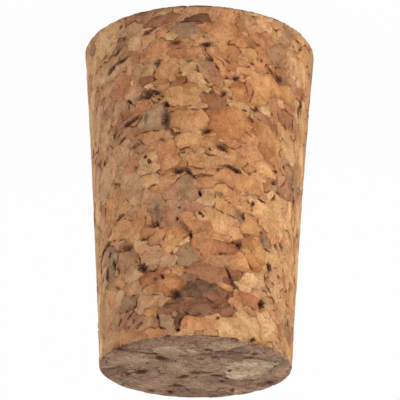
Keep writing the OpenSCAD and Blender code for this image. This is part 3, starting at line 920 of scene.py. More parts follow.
class CorkBody:
    """The stopper's ground surface: granules, joints, pits and the colours of each granule."""

    MARK_BORDER, MARK_JOINT = 0, 1  # places of the two values that each point keeps
    WHOLE = 0.999  # least value of a mark that no split has shared out
    SHORTEST_CUT = 0.14  # least share of an edge on either side of a cut
    HAND_SET_TURN = 75.0  # degrees from the front line within which no random pit is placed
    NARROW_RIM_LEAN, WIDE_RIM_LEAN = 0.4, 0.8  # lean of the normal at which a sawn face begins
    RIM_WANDER = (0.5, 0.2)  # pitch of the noise on that lean, and its size
    BROAD_WARP, FINE_WARP = (1.1, 0.12), (0.34, 0.07)  # pitch and size of a warp in millimetres
    TEST_POINTS = 14000  # points at which the cover by granules is tested
    FREE_REACH = 1.05  # least reach of a test point that no granule covers
    LEAN, LEAN_SPREAD = 4.0, 30.0  # mean lean of the random granules and its deviation, in degrees
    LIGHT_GAIN, DEEP_GAIN = (1.02, 1.10), (0.92, 1.04)  # spread of the two colours of a granule
    SIDE_DEEP, SAWN_DEEP = (0.77, 0.69, 0.63), (0.70, 0.67, 0.64)  # deep colour over the light one
    JOINT_STRENGTHS = {0.0: 0.48, 0.35: 0.28, 0.7: 0.15, 1.0: 0.09}  # with the share of each
    JUNCTION_STRENGTH = 0.8  # of a joint where three granules meet
    PAIR_TABLE, PAIR_STEPS = 4096, (7919, 104729)  # size of the strengths' table, primes to look it up
    REFINE_REACH = 1.35  # reach of a pit within which the mesh is refined
    DARKEST_PIT = 0.6  # depth in millimetres at which a pit's painted shade is as dark as it gets
    FARTHEST_PIT = 3.0  # greatest reach of a pit that the finish is given
    RIM_START, RIM_END = (0.12, 0.5), (1.0, 0.9)  # leans of the normal between which a rim chips
    LEAST_DRIFT = 0.2  # of the colour across a granule, where the greatest is 1

    def __init__(self, outline: Outline, relief: Relief, seed: int) -> None:
        """Prepares the blank and the noises.

        Args:
            outline: The turned outline.
            relief: Depths of the cut surface.
            seed: Start of the random numbers.
        """
        self.rng = np.random.default_rng(seed)
        self.surface = Surface(outline)
        self.relief = relief
        self.shell = Blank(outline).build(self.rng, 2)
        self.granules = Flakes(self.rng)
        self.pits = Flakes(self.rng)
        self.pit_depths: list[float] = []
        self.zones: list[Zone] = []
        self.light_tones: list[Array] = []
        self.deep_tones: list[Array] = []
        self.warp = LatticeNoise(self.rng, 3)
        self.rough = LatticeNoise(self.rng, 1)
        strengths, shares = list(self.JOINT_STRENGTHS), list(self.JOINT_STRENGTHS.values())
        self.joint_table = self.rng.choice(strengths, self.PAIR_TABLE, p=shares)
        self.face_labels = np.empty(0, int)
        self.in_pit = np.empty(0, bool)

    def warped(self, points: Array) -> Array:
        """Moves points a little, so that straight outlines come out ragged.

        Args:
            points: Places in millimetres, one row each.

        Returns:
            The moved places.
        """
        broad = self.warp.sample(points, self.BROAD_WARP[0]) * self.BROAD_WARP[1]
        fine = self.warp.sample(points[:, ::-1], self.FINE_WARP[0]) * self.FINE_WARP[1]
        return points + broad + fine

    def zones_of(self) -> Array:
        """Gives the number of the surface that each point lies on, with a ragged line at the rims.

        Returns:
            The value of a Zone for each point.
        """
        pitch, size = self.RIM_WANDER
        up = self.shell.normals[:, 2] + size * self.rough.sample(self.shell.points, pitch)[:, 0]
        top = np.where(up > self.NARROW_RIM_LEAN, Zone.NARROW_FACE.value, Zone.SIDE.value)
        return np.where(up < -self.WIDE_RIM_LEAN, Zone.WIDE_FACE.value, top)

    # granules

    def pack_granules(self) -> None:
        """Places the granules: the listed ones first, then random ones in the gaps."""
        for zone, by_tone in ((Zone.SIDE, SIDE_GRANULES), (Zone.NARROW_FACE, FACE_GRANULES)):
            for tone, placed in by_tone.items():
                for mark in placed:
                    spot = self.surface.spot(zone, mark.across, mark.along)
                    self.granules.add(spot, mark.length, mark.width, mark.lean, zone)
                    self._colour(zone, tone)
        pick = self.rng.permutation(len(self.shell.points))[: self.TEST_POINTS]
        points, zones = self.shell.points[pick], self.zones_of()[pick]
        owners, reach = self.granules.nearest(points, zones)
        cover = Cover(points, self.shell.normals[pick], zones, reach[:, 0], owners[:, 0])
        for size in SIZE_CLASSES:
            for _ in range(int(size.tries * self.area())):
                free = np.flatnonzero(cover.reach > self.FREE_REACH)
                if len(free):
                    self._try_granule(size, cover, self.rng.choice(free))
        LOG.info("granules: %d", len(self.granules.centres))

    def area(self) -> float:
        """Area of the blank in square millimetres."""
        a, b, c = (self.shell.points[self.shell.triangles[:, i]] for i in range(3))
        return float(np.linalg.norm(np.cross(b - a, c - a), axis=1).sum() / 2)

    def _try_granule(self, size: SizeClass, cover: Cover, at: int) -> None:
        """Tries to place one random granule, and gives it up if it lies on others.

        Args:
            size: Its size class.
            cover: What the granules so far cover, which is updated.
            at: Number of the test point to place it on.
        """
        zone, spot = Zone(cover.zones[at]), self.surface.spot_near(cover.points[at], cover.normals[at])
        length = self.rng.uniform(*size.length)
        width = length * self.rng.uniform(*size.slimness)
        self.granules.add(spot, length, width, self.rng.normal(self.LEAN, self.LEAN_SPREAD), zone)
        newest = len(self.granules.centres) - 1
        distance = np.linalg.norm(cover.points - spot.centre, axis=1)
        near = np.flatnonzero((distance < length) & (cover.zones == zone.value))
        reach = self.granules.reach(cover.points[near], np.full(len(near), newest))
        inside = reach < 1
        if inside.any() and (cover.reach[near][inside] < 1).mean() > size.overlap:
            self.granules.remove_last()
            return
        beside = int(cover.owners[at])
        cover.owners[near[reach < cover.reach[near]]] = newest
        cover.reach[near] = np.minimum(cover.reach[near], reach)
        choice = SIDE_TONES if zone is Zone.SIDE else FACE_TONES
        tone = list(choice)[self.rng.choice(len(choice), p=np.array(list(choice.values())))]
        self._colour(zone, tone)
        if self.zones[beside] is zone:
            for tones in (self.light_tones, self.deep_tones):
                tones[-1] = tones[-1] + size.likeness * (tones[beside] - tones[-1])

    def _colour(self, zone: Zone, tone: Tone) -> None:
        """Gives the last granule its light and deep colour.

        Args:
            zone: Surface that it lies on.
            tone: Its named colour.
        """
        colour = tone.linear() * self.rng.uniform(*self.LIGHT_GAIN)
        redder = np.array(self.SIDE_DEEP if zone is Zone.SIDE else self.SAWN_DEEP)
        self.zones.append(zone)
        self.light_tones.append(colour)
        self.deep_tones.append(colour * redder * self.rng.uniform(*self.DEEP_GAIN))

    # pits

    def place_pits(self) -> None:
        """Places the listed pits, then random ones where granules meet."""
        for zone, placed in ((Zone.SIDE, SIDE_PITS), (Zone.NARROW_FACE, FACE_PITS)):
            for mark in placed:
                spot = self.surface.spot(zone, mark.across, mark.along)
                self._add_pit(spot, mark.length, mark.width, mark.lean, mark.depth)
        labels, reach = self.granules.nearest(self.warped(self.shell.points), self.zones_of())
        gap = reach[:, 1] - reach[:, 0]
        first = labels[self.shell.triangles, 0]
        a, b, c = first.T
        kinds = 1 + (a != b) + ((c != a) & (c != b))
        for kind, mix in ((3, CORNER_PITS), (2, BORDER_PITS)):
            for row in self._spread(np.flatnonzero(kinds == kind), mix):
                spot = self._spot_of(row)
                length, width = self.rng.uniform(*mix.length), self.rng.uniform(*mix.width)
                if mix is CORNER_PITS:
                    width, lean = length * width, self.rng.uniform(-90, 90)
                else:
                    lean = self._border_lean(row, spot, first[row], gap)
                self._add_pit(spot, length, width, lean, self.rng.uniform(*mix.depth))
        LOG.info("pits: %d", len(self.pit_depths))

    def _border_lean(self, row: int, spot: Spot, owners: Array, gap: Array) -> float:
        """Finds the way in which the border of two granules runs through a triangle.

        Args:
            row: Number of the triangle.
            spot: The spot at its middle.
            owners: The granule that each of its corners belongs to.
            gap: How much farther the second granule's reach is than the first's, for each point.

        Returns:
            Degrees from across to along.
        """
        points = self.shell.triangles[row]
        corner = self.shell.points[points]
        signed = np.where(owners == owners[0], gap[points], -gap[points])
        slope = np.linalg.lstsq(corner - corner.mean(axis=0), signed - signed.mean(), rcond=None)[0]
        run = np.cross(spot.out, slope)
        return math.degrees(math.atan2(run @ spot.along, run @ spot.across))

    def _spot_of(self, row: int) -> Spot:
        """Finds the spot at the middle of a triangle.

        Args:
            row: Number of the triangle.

        Returns:
            The place with its directions.
        """
        corners = self.shell.triangles[row]
        point = self.shell.points[corners].mean(axis=0)
        return self.surface.spot_near(point, self.shell.normals[corners].mean(axis=0))

    def _spread(self, rows: Array, mix: PitMix) -> list[int]:
        """Picks some triangles that are well apart from each other and from every pit so far.

        Args:
            rows: Numbers of the triangles to pick from.
            mix: The kind of pit that they are for.

        Returns:
            The numbers picked.
        """
        middles = self.shell.points[self.shell.triangles].mean(axis=1)
        up = self.shell.normals[self.shell.triangles, 2].mean(axis=1)
        turn = np.degrees(np.arctan2(-middles[:, 0], -middles[:, 1]))
        lid = self.surface.FACE_LEAN
        hand_set = (up > lid) | ((np.abs(turn) < self.HAND_SET_TURN) & (up > -lid))
        rows = rows[~hand_set[rows]]
        taken = list(self.pits.centres)
        picked = []
        for row in self.rng.permutation(rows)[: int(mix.share * len(rows))]:
            place = middles[row]
            if not taken or np.linalg.norm(np.array(taken) - place, axis=1).min() > mix.apart:
                taken.append(place)
                picked.append(int(row))
        return picked

    def _add_pit(self, spot: Spot, length: float, width: float, lean: float, depth: float) -> None:
        """Adds a pit at a spot, with its sizes and depth in millimetres.

        Args:
            spot: Its centre and the directions there.
            length: Its long size.
            width: Its short size.
            lean: Degrees by which its long size turns from across to along.
            depth: Its depth.
        """
        moved = Spot(self.warped(spot.centre[None])[0], spot.across, spot.along, spot.out)
        self.pits.add(moved, length, width, lean)
        self.pit_depths.append(depth)

    # cutting

    def cut(self) -> None:
        """Divides the mesh along the granules' borders and the pits' outlines."""
        self._refine_at_pits()
        self._cut_borders()
        self._cut_pits()

    def _refine_at_pits(self) -> None:
        """Halves the edges in and near the pits."""
        _, reach = self.pits.nearest(self.warped(self.shell.points))
        pairs, _ = self.shell.edges()
        marked = reach[pairs, 0].min(axis=1) < self.REFINE_REACH
        self.shell, _ = self.shell.split(marked, np.full(len(pairs), 0.5), use_hub=False)

    def _cut_borders(self) -> None:
        """Divides the mesh where one granule ends and the next begins."""
        places = self.warped(self.shell.points)
        zones = self.zones_of()
        labels = self.granules.nearest(places, zones)[0][:, 0]
        pairs, _ = self.shell.edges()
        ends = labels[pairs]
        marked = ends[:, 0] != ends[:, 1]
        a, b = pairs[marked].T
        own, other = ends[marked].T
        apart = self.granules.APART * (zones[a] != zones[b])
        at_a = apart + self.granules.reach(places[a], other) - self.granules.reach(places[a], own)
        at_b = apart + self.granules.reach(places[b], own) - self.granules.reach(places[b], other)
        share = np.full(len(pairs), 0.5)
        share[marked] = np.clip(at_a / (at_a + at_b + 1e-9), self.SHORTEST_CUT, 1 - self.SHORTEST_CUT)
        low, high = np.minimum(own, other), np.maximum(own, other)
        key = low * self.PAIR_STEPS[0] + high * self.PAIR_STEPS[1]
        strength = self.joint_table[key % self.PAIR_TABLE]
        before = len(self.shell.points)
        hubs = before + len(strength)
        self.shell, _ = self.shell.split(marked, share, use_hub=True)
        kept = self.shell.marks
        kept[before:, self.MARK_BORDER] = 1
        kept[before:hubs, self.MARK_JOINT] = strength
        kept[hubs:, self.MARK_JOINT] = self.JUNCTION_STRENGTH
        full = np.concatenate([labels, np.full(len(kept) - before, -1)])
        self.face_labels = full[self.shell.triangles].max(axis=1)

    def _cut_pits(self) -> None:
        """Divides the mesh along the outline of each pit."""
        reach = self.pits.nearest(self.warped(self.shell.points))[1][:, 0]
        inside = reach < 1
        pairs, _ = self.shell.edges()
        marked = inside[pairs[:, 0]] != inside[pairs[:, 1]]
        a, b = reach[pairs[:, 0]] - 1, reach[pairs[:, 1]] - 1
        share = np.clip(a / np.where(marked, a - b, 1), self.SHORTEST_CUT, 1 - self.SHORTEST_CUT)
        before = len(self.shell.points)
        self.shell, parents = self.shell.split(marked, share, use_hub=False)
        self.face_labels = self.face_labels[parents]
        known = np.concatenate([inside.astype(int), np.full(len(self.shell.points) - before, -1)])
        self.in_pit = known[self.shell.triangles].max(axis=1) == 1

    # relief

    def carve(self) -> dict[str, Array]:
        """Presses the joints, pits and granule tops into the surface.

        Returns:
            The values that the finish needs at each point, by name.
        """
        shell, relief, rng = self.shell, self.relief, self.rng
        places = self.warped(shell.points)
        labels, reach = self.granules.nearest(places, self.zones_of())
        on_border = shell.marks[:, self.MARK_BORDER] > self.WHOLE
        count = len(self.granules.centres)
        drop = rng.uniform(0, 1, count) * relief.drop
        slope = rng.uniform(-relief.tilt, relief.tilt, (count, 2)) * self.granules.sizes / 2
        levels = []
        for column in (0, 1):
            which = labels[:, column]
            local = self.granules.local(places, which)[:, :2]
            top = drop[which] + (slope[which] * local).sum(axis=1)
            levels.append(top + relief.crown * np.minimum(reach[:, column], relief.crown_reach) ** 3)
        depth = np.where(on_border, np.maximum(*levels), levels[0])
        groove, rough, chip, torn = (
            self.rough.sample(shell.points, pitch)[:, 0]
            for pitch in (relief.groove_pitch, relief.rough_pitch, relief.rim_pitch, relief.pit_pitch)
        )
        joint = np.clip(shell.marks[:, self.MARK_JOINT] + relief.groove_wander * groove, 0, 1)
        depth += np.where(on_border, joint * relief.groove, 0)
        depth += relief.rough * (relief.rough_swing * rough + relief.rough_swing)
        lean = np.abs(shell.normals[:, 2])
        rim = smooth_step(*self.RIM_START, lean) * smooth_step(*self.RIM_END, lean)
        depth += relief.rim * rim * np.maximum(chip, 0)
        pit_of, pit_reach = self.pits.nearest(places)
        deepest = np.append(self.pit_depths, 0.0)[pit_of[:, 0]]
        fall = smooth_step(1.0, 1.0 - relief.pit_wall, pit_reach[:, 0])
        depth += relief.pit_share * deepest * fall * (1 + relief.pit_swing * torn)
        depth = np.maximum(depth, 0) + relief.skin
        gap, strength = self._joint_distance(on_border, joint)
        shell.points = shell.points - shell.normals * depth[:, None]
        return {
            "joint_gap": gap,
            "joint_strength": strength,
            "pit_reach": np.minimum(pit_reach[:, 0], self.FARTHEST_PIT),
            # Depth share of the nearest pit, which sets how far painted shade darkens it.
            "pit_dark": np.clip(deepest / self.DARKEST_PIT, 0, 1),
        }

    def _joint_distance(self, on_border: Array, joint: Array) -> tuple[Array, Array]:
        """Measures how far each point is from the nearest joint.

        Args:
            on_border: True for the points on a joint.
            joint: Strength of the joint at each such point.

        Returns:
            The distance in millimetres and the strength of that joint, for each point.
        """
        rows = np.flatnonzero(on_border)
        tree = KDTree(len(rows))
        for number, row in enumerate(rows):
            tree.insert(self.shell.points[row], number)
        tree.balance()
        gap = np.zeros(len(self.shell.points))
        strength = joint.copy()
        for row in np.flatnonzero(~on_border):
            _, number, distance = tree.find(self.shell.points[row])
            gap[row] = distance
            strength[row] = joint[rows[number]]
        return gap, strength

    # mesh

    def to_object(self, name: str, point_values: dict[str, Array]) -> bpy.types.Object:
        """Makes the Blender object.

        Args:
            name: Its name.
            point_values: Values for the finish at each point, by name.

        Returns:
            The object, linked to the scene.
        """
        shell = self.shell
        mesh = bpy.data.meshes.new(name)
        mesh.from_pydata((shell.points * METRES).tolist(), [], shell.triangles.tolist())
        mesh.shade_smooth()
        self._mark_creases(mesh)
        sawn = np.array([zone is not Zone.SIDE for zone in self.zones])[self.face_labels]
        mesh.polygons.foreach_set("material_index", sawn.astype(np.int32))
        turn = self.rng.uniform(0, math.tau, len(self.zones))
        draw = self.rng.uniform(0, 1, len(self.zones))
        size = np.linalg.norm(self.granules.frames, axis=2, keepdims=True)
        axes = self.granules.frames / size
        run = axes[:, 0] * np.cos(turn)[:, None] + axes[:, 1] * np.sin(turn)[:, None]
        own_values = {
            "tone_light": np.array(self.light_tones),
            "tone_deep": np.array(self.deep_tones),
            "grain_run": run,
            "granule_draw": draw,
        }
        for label, values in point_values.items():
            self._store(mesh, label, "POINT", values)
        for label, values in own_values.items():
            self._store(mesh, label, "FACE", values[self.face_labels])
        self._store(mesh, "tone_slope", "CORNER", self._slopes())
        made = bpy.data.objects.new(name, mesh)
        bpy.context.scene.collection.objects.link(made)
        return made

    def _slopes(self) -> Array:
        """Gives each corner of each triangle its share of the drift of colour across the granule.

        Returns:
            The share, from about -1 to 1, for each corner in turn.
        """
        count = len(self.zones)
        turn, steep = self.rng.uniform(0, math.tau, count), self.rng.uniform(self.LEAST_DRIFT, 1, count)
        ways = np.stack([np.cos(turn), np.sin(turn)], 1) * steep[:, None]
        places, which = self.shell.points[self.shell.triangles.ravel()], np.repeat(self.face_labels, 3)
        return (self.granules.local(places, which)[:, :2] * ways[which]).sum(axis=1)

    @staticmethod
    def _store(mesh: bpy.types.Mesh, label: str, domain: str, values: Array) -> None:
        """Stores numbers or vectors on the mesh for the finish to read.

        Args:
            mesh: The mesh.
            label: Name of the attribute.
            domain: POINT, FACE or CORNER.
            values: One number or one vector for each of them.
        """
        kind, field = ("FLOAT_VECTOR", "vector") if values.ndim == 2 else ("FLOAT", "value")
        rows = np.ascontiguousarray(values, np.float32).ravel()
        mesh.attributes.new(label, kind, domain).data.foreach_set(field, rows)

    def _mark_creases(self, mesh: bpy.types.Mesh) -> None:
        """Keeps shading sharp along the borders of granules and pits.

        Args:
            mesh: The mesh made from the shell.
        """
        pairs, number = self.shell.edges()
        kind = self.face_labels * 2 + self.in_pit
        lowest = np.full(len(pairs), kind.max() + 1)
        highest = np.full(len(pairs), -1)
        for side in range(3):
            np.minimum.at(lowest, number[:, side], kind)
            np.maximum.at(highest, number[:, side], kind)
        sharp = pairs[lowest != highest]
        ends = np.zeros(len(mesh.edges) * 2, np.int32)
        mesh.edges.foreach_get("vertices", ends)
        ends = np.sort(ends.reshape(-1, 2), axis=1)
        key = ends[:, 0].astype(np.int64) * len(self.shell.points) + ends[:, 1]
        wanted = sharp[:, 0].astype(np.int64) * len(self.shell.points) + sharp[:, 1]
        mesh.edges.foreach_set("use_edge_sharp", np.isin(key, wanted))


class Wiring:
    """Adds nodes to one shader tree and links them."""

    def __init__(self, tree: bpy.types.NodeTree) -> None:
        """Keeps the tree."""
        self.tree = tree

    def node(self, kind: str, **settings: object) -> bpy.types.Node:
        """Adds a node.

        Args:
            kind: Blender's name of the node type.
            **settings: Properties to set on it.

        Returns:
            The node.
        """
        made = self.tree.nodes.new(kind)
        for name, value in settings.items():
            setattr(made, name, value)
        return made

    def feed(self, socket: Socket, value: object) -> None:
        """Links an output to a socket, or sets the socket's own value."""
        if isinstance(value, Socket):
            self.tree.links.new(value, socket)
        else:
            socket.default_value = value

    def feed_all(self, node: bpy.types.Node, values: dict[str | int, object]) -> None:
        """Feeds several inputs of a node, given by name or number."""
        for name, value in values.items():
            self.feed(node.inputs[name], value)

    def maths(self, operation: str, *values: object, clamp: bool = False) -> Socket:
        """Adds a Math node.

        Args:
            operation: Its operation.
            *values: Numbers or outputs for its inputs.
            clamp: True to keep the result from 0 to 1.

        Returns:
            Its output.
        """
        made = self.node("ShaderNodeMath", operation=operation, use_clamp=clamp)
        self.feed_all(made, dict(enumerate(values)))
        return made.outputs[0]

    def product(self, first: object, *others: object) -> Socket:
        """Multiplies numbers or outputs."""
        for value in others:
            first = self.maths("MULTIPLY", first, value)
        return first

    def add_up(self, base: object, *terms: tuple[object, object]) -> Socket:
        """Adds terms to a base, where each term is a value and its weight."""
        for value, weight in terms:
            base = self.maths("MULTIPLY_ADD", value, weight, base)
        return base

    def vector(self, operation: str, first: object, second: object) -> Socket:
        """Adds a Vector Math node.

        Args:
            operation: Its operation.
            first: Vector or output for its first input.
            second: Vector, number or output for its second input.

        Returns:
            The output that the operation fills.
        """
        made = self.node("ShaderNodeVectorMath", operation=operation)
        self.feed_all(made, {0: first, "Scale" if operation == "SCALE" else 1: second})
        return made.outputs["Value" if operation == "DOT_PRODUCT" else "Vector"]

    def blend(self, share: object, first: object, second: object, mode: str = "MIX") -> Socket:
        """Mixes two colours.

        Args:
            share: Share of the second colour.
            first: First colour or output.
            second: Second colour or output.
            mode: Way in which they mix.

        Returns:
            The mixed colour.
        """
        made = self.node("ShaderNodeMix", data_type="RGBA", blend_type=mode)
        self.feed_all(made, {0: share, 6: first, 7: second})
        return made.outputs[2]

    def rise(self, value: object, low: object, high: object) -> Socket:
        """Rises smoothly from 0 where value is low to 1 where it is high.

        Args:
            value: Number or output to map.
            low: Value that gives 0.
            high: Value that gives 1.

        Returns:
            The mapped value.
        """
        made = self.node("ShaderNodeMapRange", interpolation_type="SMOOTHSTEP")
        self.feed_all(made, {"Value": value, "From Min": low, "From Max": high})
        return made.outputs[0]

    def fall(self, value: object, low: object, high: object) -> Socket:
        """Falls smoothly from 1 where value is low to 0 where it is high."""
        return self.maths("SUBTRACT", 1.0, self.rise(value, low, high))

    def swing(self, value: object) -> Socket:
        """Spreads a value of 0 to 1 from -1 to 1."""
        return self.maths("MULTIPLY_ADD", value, 2.0, -1.0)

    def noise(
        self, place: object, pitch: object, detail: float = 2.0, rough: float = 0.5, name: str = "Fac"
    ) -> Socket:
        """Adds smooth noise.

        Args:
            place: Output with the place in millimetres.
            pitch: Size of its features in millimetres.
            detail: Number of finer layers.
            rough: Weight of the finer layers.
            name: Output to use.

        Returns:
            That output.
        """
        made = self.node("ShaderNodeTexNoise", noise_dimensions="3D")
        scale = self.maths("DIVIDE", 1.0, pitch) if isinstance(pitch, Socket) else 1.0 / pitch
        self.feed_all(made, {"Vector": place, "Scale": scale, "Detail": detail, "Roughness": rough})
        return made.outputs[name]

    def squeeze(self, place: object, run: object, share: object) -> Socket:
        """Squeezes places along a direction, so that a texture there comes out drawn out.

        Args:
            place: Output with the place in millimetres.
            run: Output with the unit vector of the direction.
            share: Share of the length that is taken away.

        Returns:
            The squeezed places.
        """
        less = self.maths("MULTIPLY", self.vector("DOT_PRODUCT", place, run), share)
        return self.vector("SUBTRACT", place, self.vector("SCALE", run, less))

    def attribute(self, name: str, output: str = "Fac") -> Socket:
        """Reads a value that the mesh carries."""
        return self.node("ShaderNodeAttribute", attribute_name=name).outputs[output]


FLOAT, COLOUR, VECTOR = "NodeSocketFloat", "NodeSocketColor", "NodeSocketVector"


class Effect:
    """A shader node group that is built once and placed in each material that uses it.

    INPUTS gives each input's kind by name, or the value that a number starts with.
    """

    NAME = ""
    INPUTS: dict[str, str | float] = {}
    OUTPUTS: dict[str, str] = {}

    @classmethod
    def tree(cls) -> bpy.types.NodeTree:
        """Gives the group's tree, which the first call builds.

        Returns:
            The tree.
        """
        found = bpy.data.node_groups.get(cls.NAME)
        if found:
            return found
        made = bpy.data.node_groups.new(cls.NAME, "ShaderNodeTree")
        for name, value in cls.INPUTS.items():
            plain = isinstance(value, float)
            socket = made.interface.new_socket(name, in_out="INPUT", socket_type=FLOAT if plain else value)
            if plain:
                socket.default_value = value
        for name, kind in cls.OUTPUTS.items():
            made.interface.new_socket(name, in_out="OUTPUT", socket_type=kind)
        wiring = Wiring(made)
        source, result = wiring.node("NodeGroupInput"), wiring.node("NodeGroupOutput")
        wiring.feed_all(result, cls.wire(wiring, {s.name: s for s in source.outputs if s.name}))
        return made

    @classmethod
    def wire(cls, wiring: Wiring, given: Sockets) -> Sockets:
        """Builds the inside of the group.

        Args:
            wiring: Adds nodes to the group.
            given: The group's inputs by name.

        Returns:
            The outputs by name.
        """
        raise NotImplementedError

    @classmethod
    def place(cls, wiring: Wiring, **values: object) -> bpy.types.NodeOutputs:
        """Places the group in a material.

        Args:
            wiring: Adds nodes to the material.
            **values: Values or outputs for the inputs, named in lower case with underscores.

        Returns:
            The placed group's outputs.
        """
        made = wiring.node("ShaderNodeGroup", node_tree=cls.tree())
        wiring.feed_all(made, {name.replace("_", " ").capitalize(): values[name] for name in values})
        return made.outputs


class GranuleTone(Effect):
    """Broad and small patches of a granule's deep colour in its light one, with a drift of hue."""

    NAME = "granule_tone"
    INPUTS = {
        "Place": VECTOR, "Light": COLOUR, "Deep": COLOUR, "Run": VECTOR, "Draw": 0.5, "Gap": 1.0,
        "Slope": 0.0, "Patch size": 1.4, "Patch depth": 0.7,
    }
    OUTPUTS = {"Colour": COLOUR}
    SHIFT = (61.0, 27.0)  # millimetres by which a draw of 1 moves a granule's texture
    SMALL_SHARE = 0.26  # size of the small patches over that of the broad ones
    SLOPE_WEIGHT = 0.22  # pull of the drift across the granule
    BRIM, BRIM_WEIGHT = 0.8, 0.25  # width of the deeper brim in millimetres, and its weight
    ROSE, OLIVE = (1.035, 0.975, 0.965, 1.0), (0.975, 1.005, 0.95, 1.0)

    @classmethod
    def wire(cls, wiring: Wiring, given: Sockets) -> Sockets:
        """Builds the inside, as Effect.wire says."""
        place, run, patch = given["Place"], given["Run"], given["Patch size"]
        shift = wiring.node("ShaderNodeCombineXYZ")
        wiring.feed_all(shift, {i: wiring.product(given["Draw"], far) for i, far in enumerate(cls.SHIFT)})
        moved = wiring.vector("ADD", place, shift.outputs[0])
        broad = wiring.noise(wiring.squeeze(moved, run, 0.3), patch, detail=3.0, rough=0.55)
        streaked = wiring.squeeze(place, run, 0.62)
        small = wiring.noise(streaked, wiring.product(patch, cls.SMALL_SHARE), detail=3.0, rough=0.65)
        cloud = wiring.maths("ADD", broad, small)
        tipped = wiring.add_up(cloud, (given["Slope"], cls.SLOPE_WEIGHT))
        share = wiring.product(wiring.rise(tipped, 0.80, 1.26), given["Patch depth"])
        brim = wiring.fall(given["Gap"], 0.0, cls.BRIM)
        share = wiring.add_up(share, (brim, cls.BRIM_WEIGHT))
        colour = wiring.blend(share, given["Light"], given["Deep"])
        hue = wiring.rise(wiring.noise(moved, 1.9, detail=1.0), 0.32, 0.68)
        tint = wiring.blend(hue, cls.ROSE, cls.OLIVE)
        return {"Colour": wiring.blend(1.0, colour, tint, "MULTIPLY")}


class GrowthLines(Effect):
    """Fine wavy growth lines that run one way in each granule and fade in and out."""

    NAME = "growth_lines"
    INPUTS = {"Place": VECTOR, "Run": VECTOR, "Draw": 0.5, "Spacing": 0.4, "Waviness": 1.0}
    OUTPUTS = {"Lines": FLOAT}
    LEAST_SPACING = 0.6  # share of the spacing in the granule with the least draw
    WAVE = 3.0  # lines by which the waviness moves a line

    @classmethod
    def wire(cls, wiring: Wiring, given: Sockets) -> Sockets:
        """Builds the inside, as Effect.wire says."""
        along = wiring.vector("DOT_PRODUCT", given["Place"], given["Run"])
        spacing = wiring.product(given["Spacing"], wiring.maths("ADD", given["Draw"], cls.LEAST_SPACING))
        wave = wiring.product(wiring.noise(given["Place"], 1.3, detail=1.0), given["Waviness"])
        turn = wiring.maths("ADD", wiring.maths("DIVIDE", along, spacing), wiring.product(wave, cls.WAVE))
        line = wiring.maths("SINE", wiring.product(turn, math.tau))
        fade = wiring.rise(wiring.noise(given["Place"], 0.8, detail=1.0), 0.40, 0.66)
        return {"Lines": wiring.product(line, fade)}


class Splinters(Effect):
    """Angular facets inside a granule, some a little lighter or darker, some with a dark edge."""

    NAME = "splinters"
    INPUTS = {"Place": VECTOR, "Run": VECTOR, "Size": 0.9, "Stretch": 0.5}
    OUTPUTS = {"Shade": FLOAT, "Edge": FLOAT}
    BEND = 0.5  # millimetres by which the facets' outlines bend
    EDGE = 0.11  # width of the dark edge over the size of the facets

    @classmethod
    def wire(cls, wiring: Wiring, given: Sockets) -> Sockets:
        """Builds the inside, as Effect.wire says."""
        place = given["Place"]
        squeezed = wiring.squeeze(place, given["Run"], given["Stretch"])
        swirl = wiring.noise(place, 0.4, detail=3.0, rough=0.65, name="Color")
        bent = wiring.vector("ADD", squeezed, wiring.vector("SCALE", swirl, cls.BEND))
        scale = wiring.maths("DIVIDE", 1.0, given["Size"])
        cells = wiring.node("ShaderNodeTexVoronoi", feature="F1")
        edges = wiring.node("ShaderNodeTexVoronoi", feature="DISTANCE_TO_EDGE")
        for texture in (cells, edges):
            wiring.feed_all(texture, {"Vector": bent, "Scale": scale})
        parts = wiring.node("ShaderNodeSeparateColor")
        wiring.feed(parts.inputs[0], cells.outputs["Color"])
        line = wiring.fall(edges.outputs["Distance"], 0.0, cls.EDGE)
        shown = wiring.rise(wiring.noise(place, 0.9, rough=0.6), 0.50, 0.62)
        return {"Shade": wiring.swing(parts.outputs[0]), "Edge": wiring.product(line, shown)}


class GrainSpecks(Effect):
    """Short dark specks and fine fibres drawn out along the granule's own direction."""

    NAME = "grain_specks"
    INPUTS = {"Place": VECTOR, "Run": VECTOR, "Size": 0.2, "Stretch": 0.6, "Threshold": 0.66}
    OUTPUTS = {"Mask": FLOAT, "Fibre": FLOAT}
    SOFTNESS = 0.09  # noise level past the threshold at which a speck is whole
    FIBRE_SHARE = 0.62  # size of the fibres over that of the specks
    FIBRE_STRETCH = 0.82  # share of the length that is taken away, as Wiring.squeeze says

    @classmethod
    def wire(cls, wiring: Wiring, given: Sockets) -> Sockets:
        """Builds the inside, as Effect.wire says."""
        place, run, threshold = given["Place"], given["Run"], given["Threshold"]
        cloud = wiring.noise(wiring.squeeze(place, run, given["Stretch"]), given["Size"])
        over = wiring.maths("ADD", threshold, cls.SOFTNESS)
        drawn = wiring.squeeze(place, run, cls.FIBRE_STRETCH)
        thread = wiring.noise(drawn, wiring.product(given["Size"], cls.FIBRE_SHARE), rough=0.6)
        return {"Mask": wiring.rise(cloud, threshold, over), "Fibre": wiring.swing(thread)}


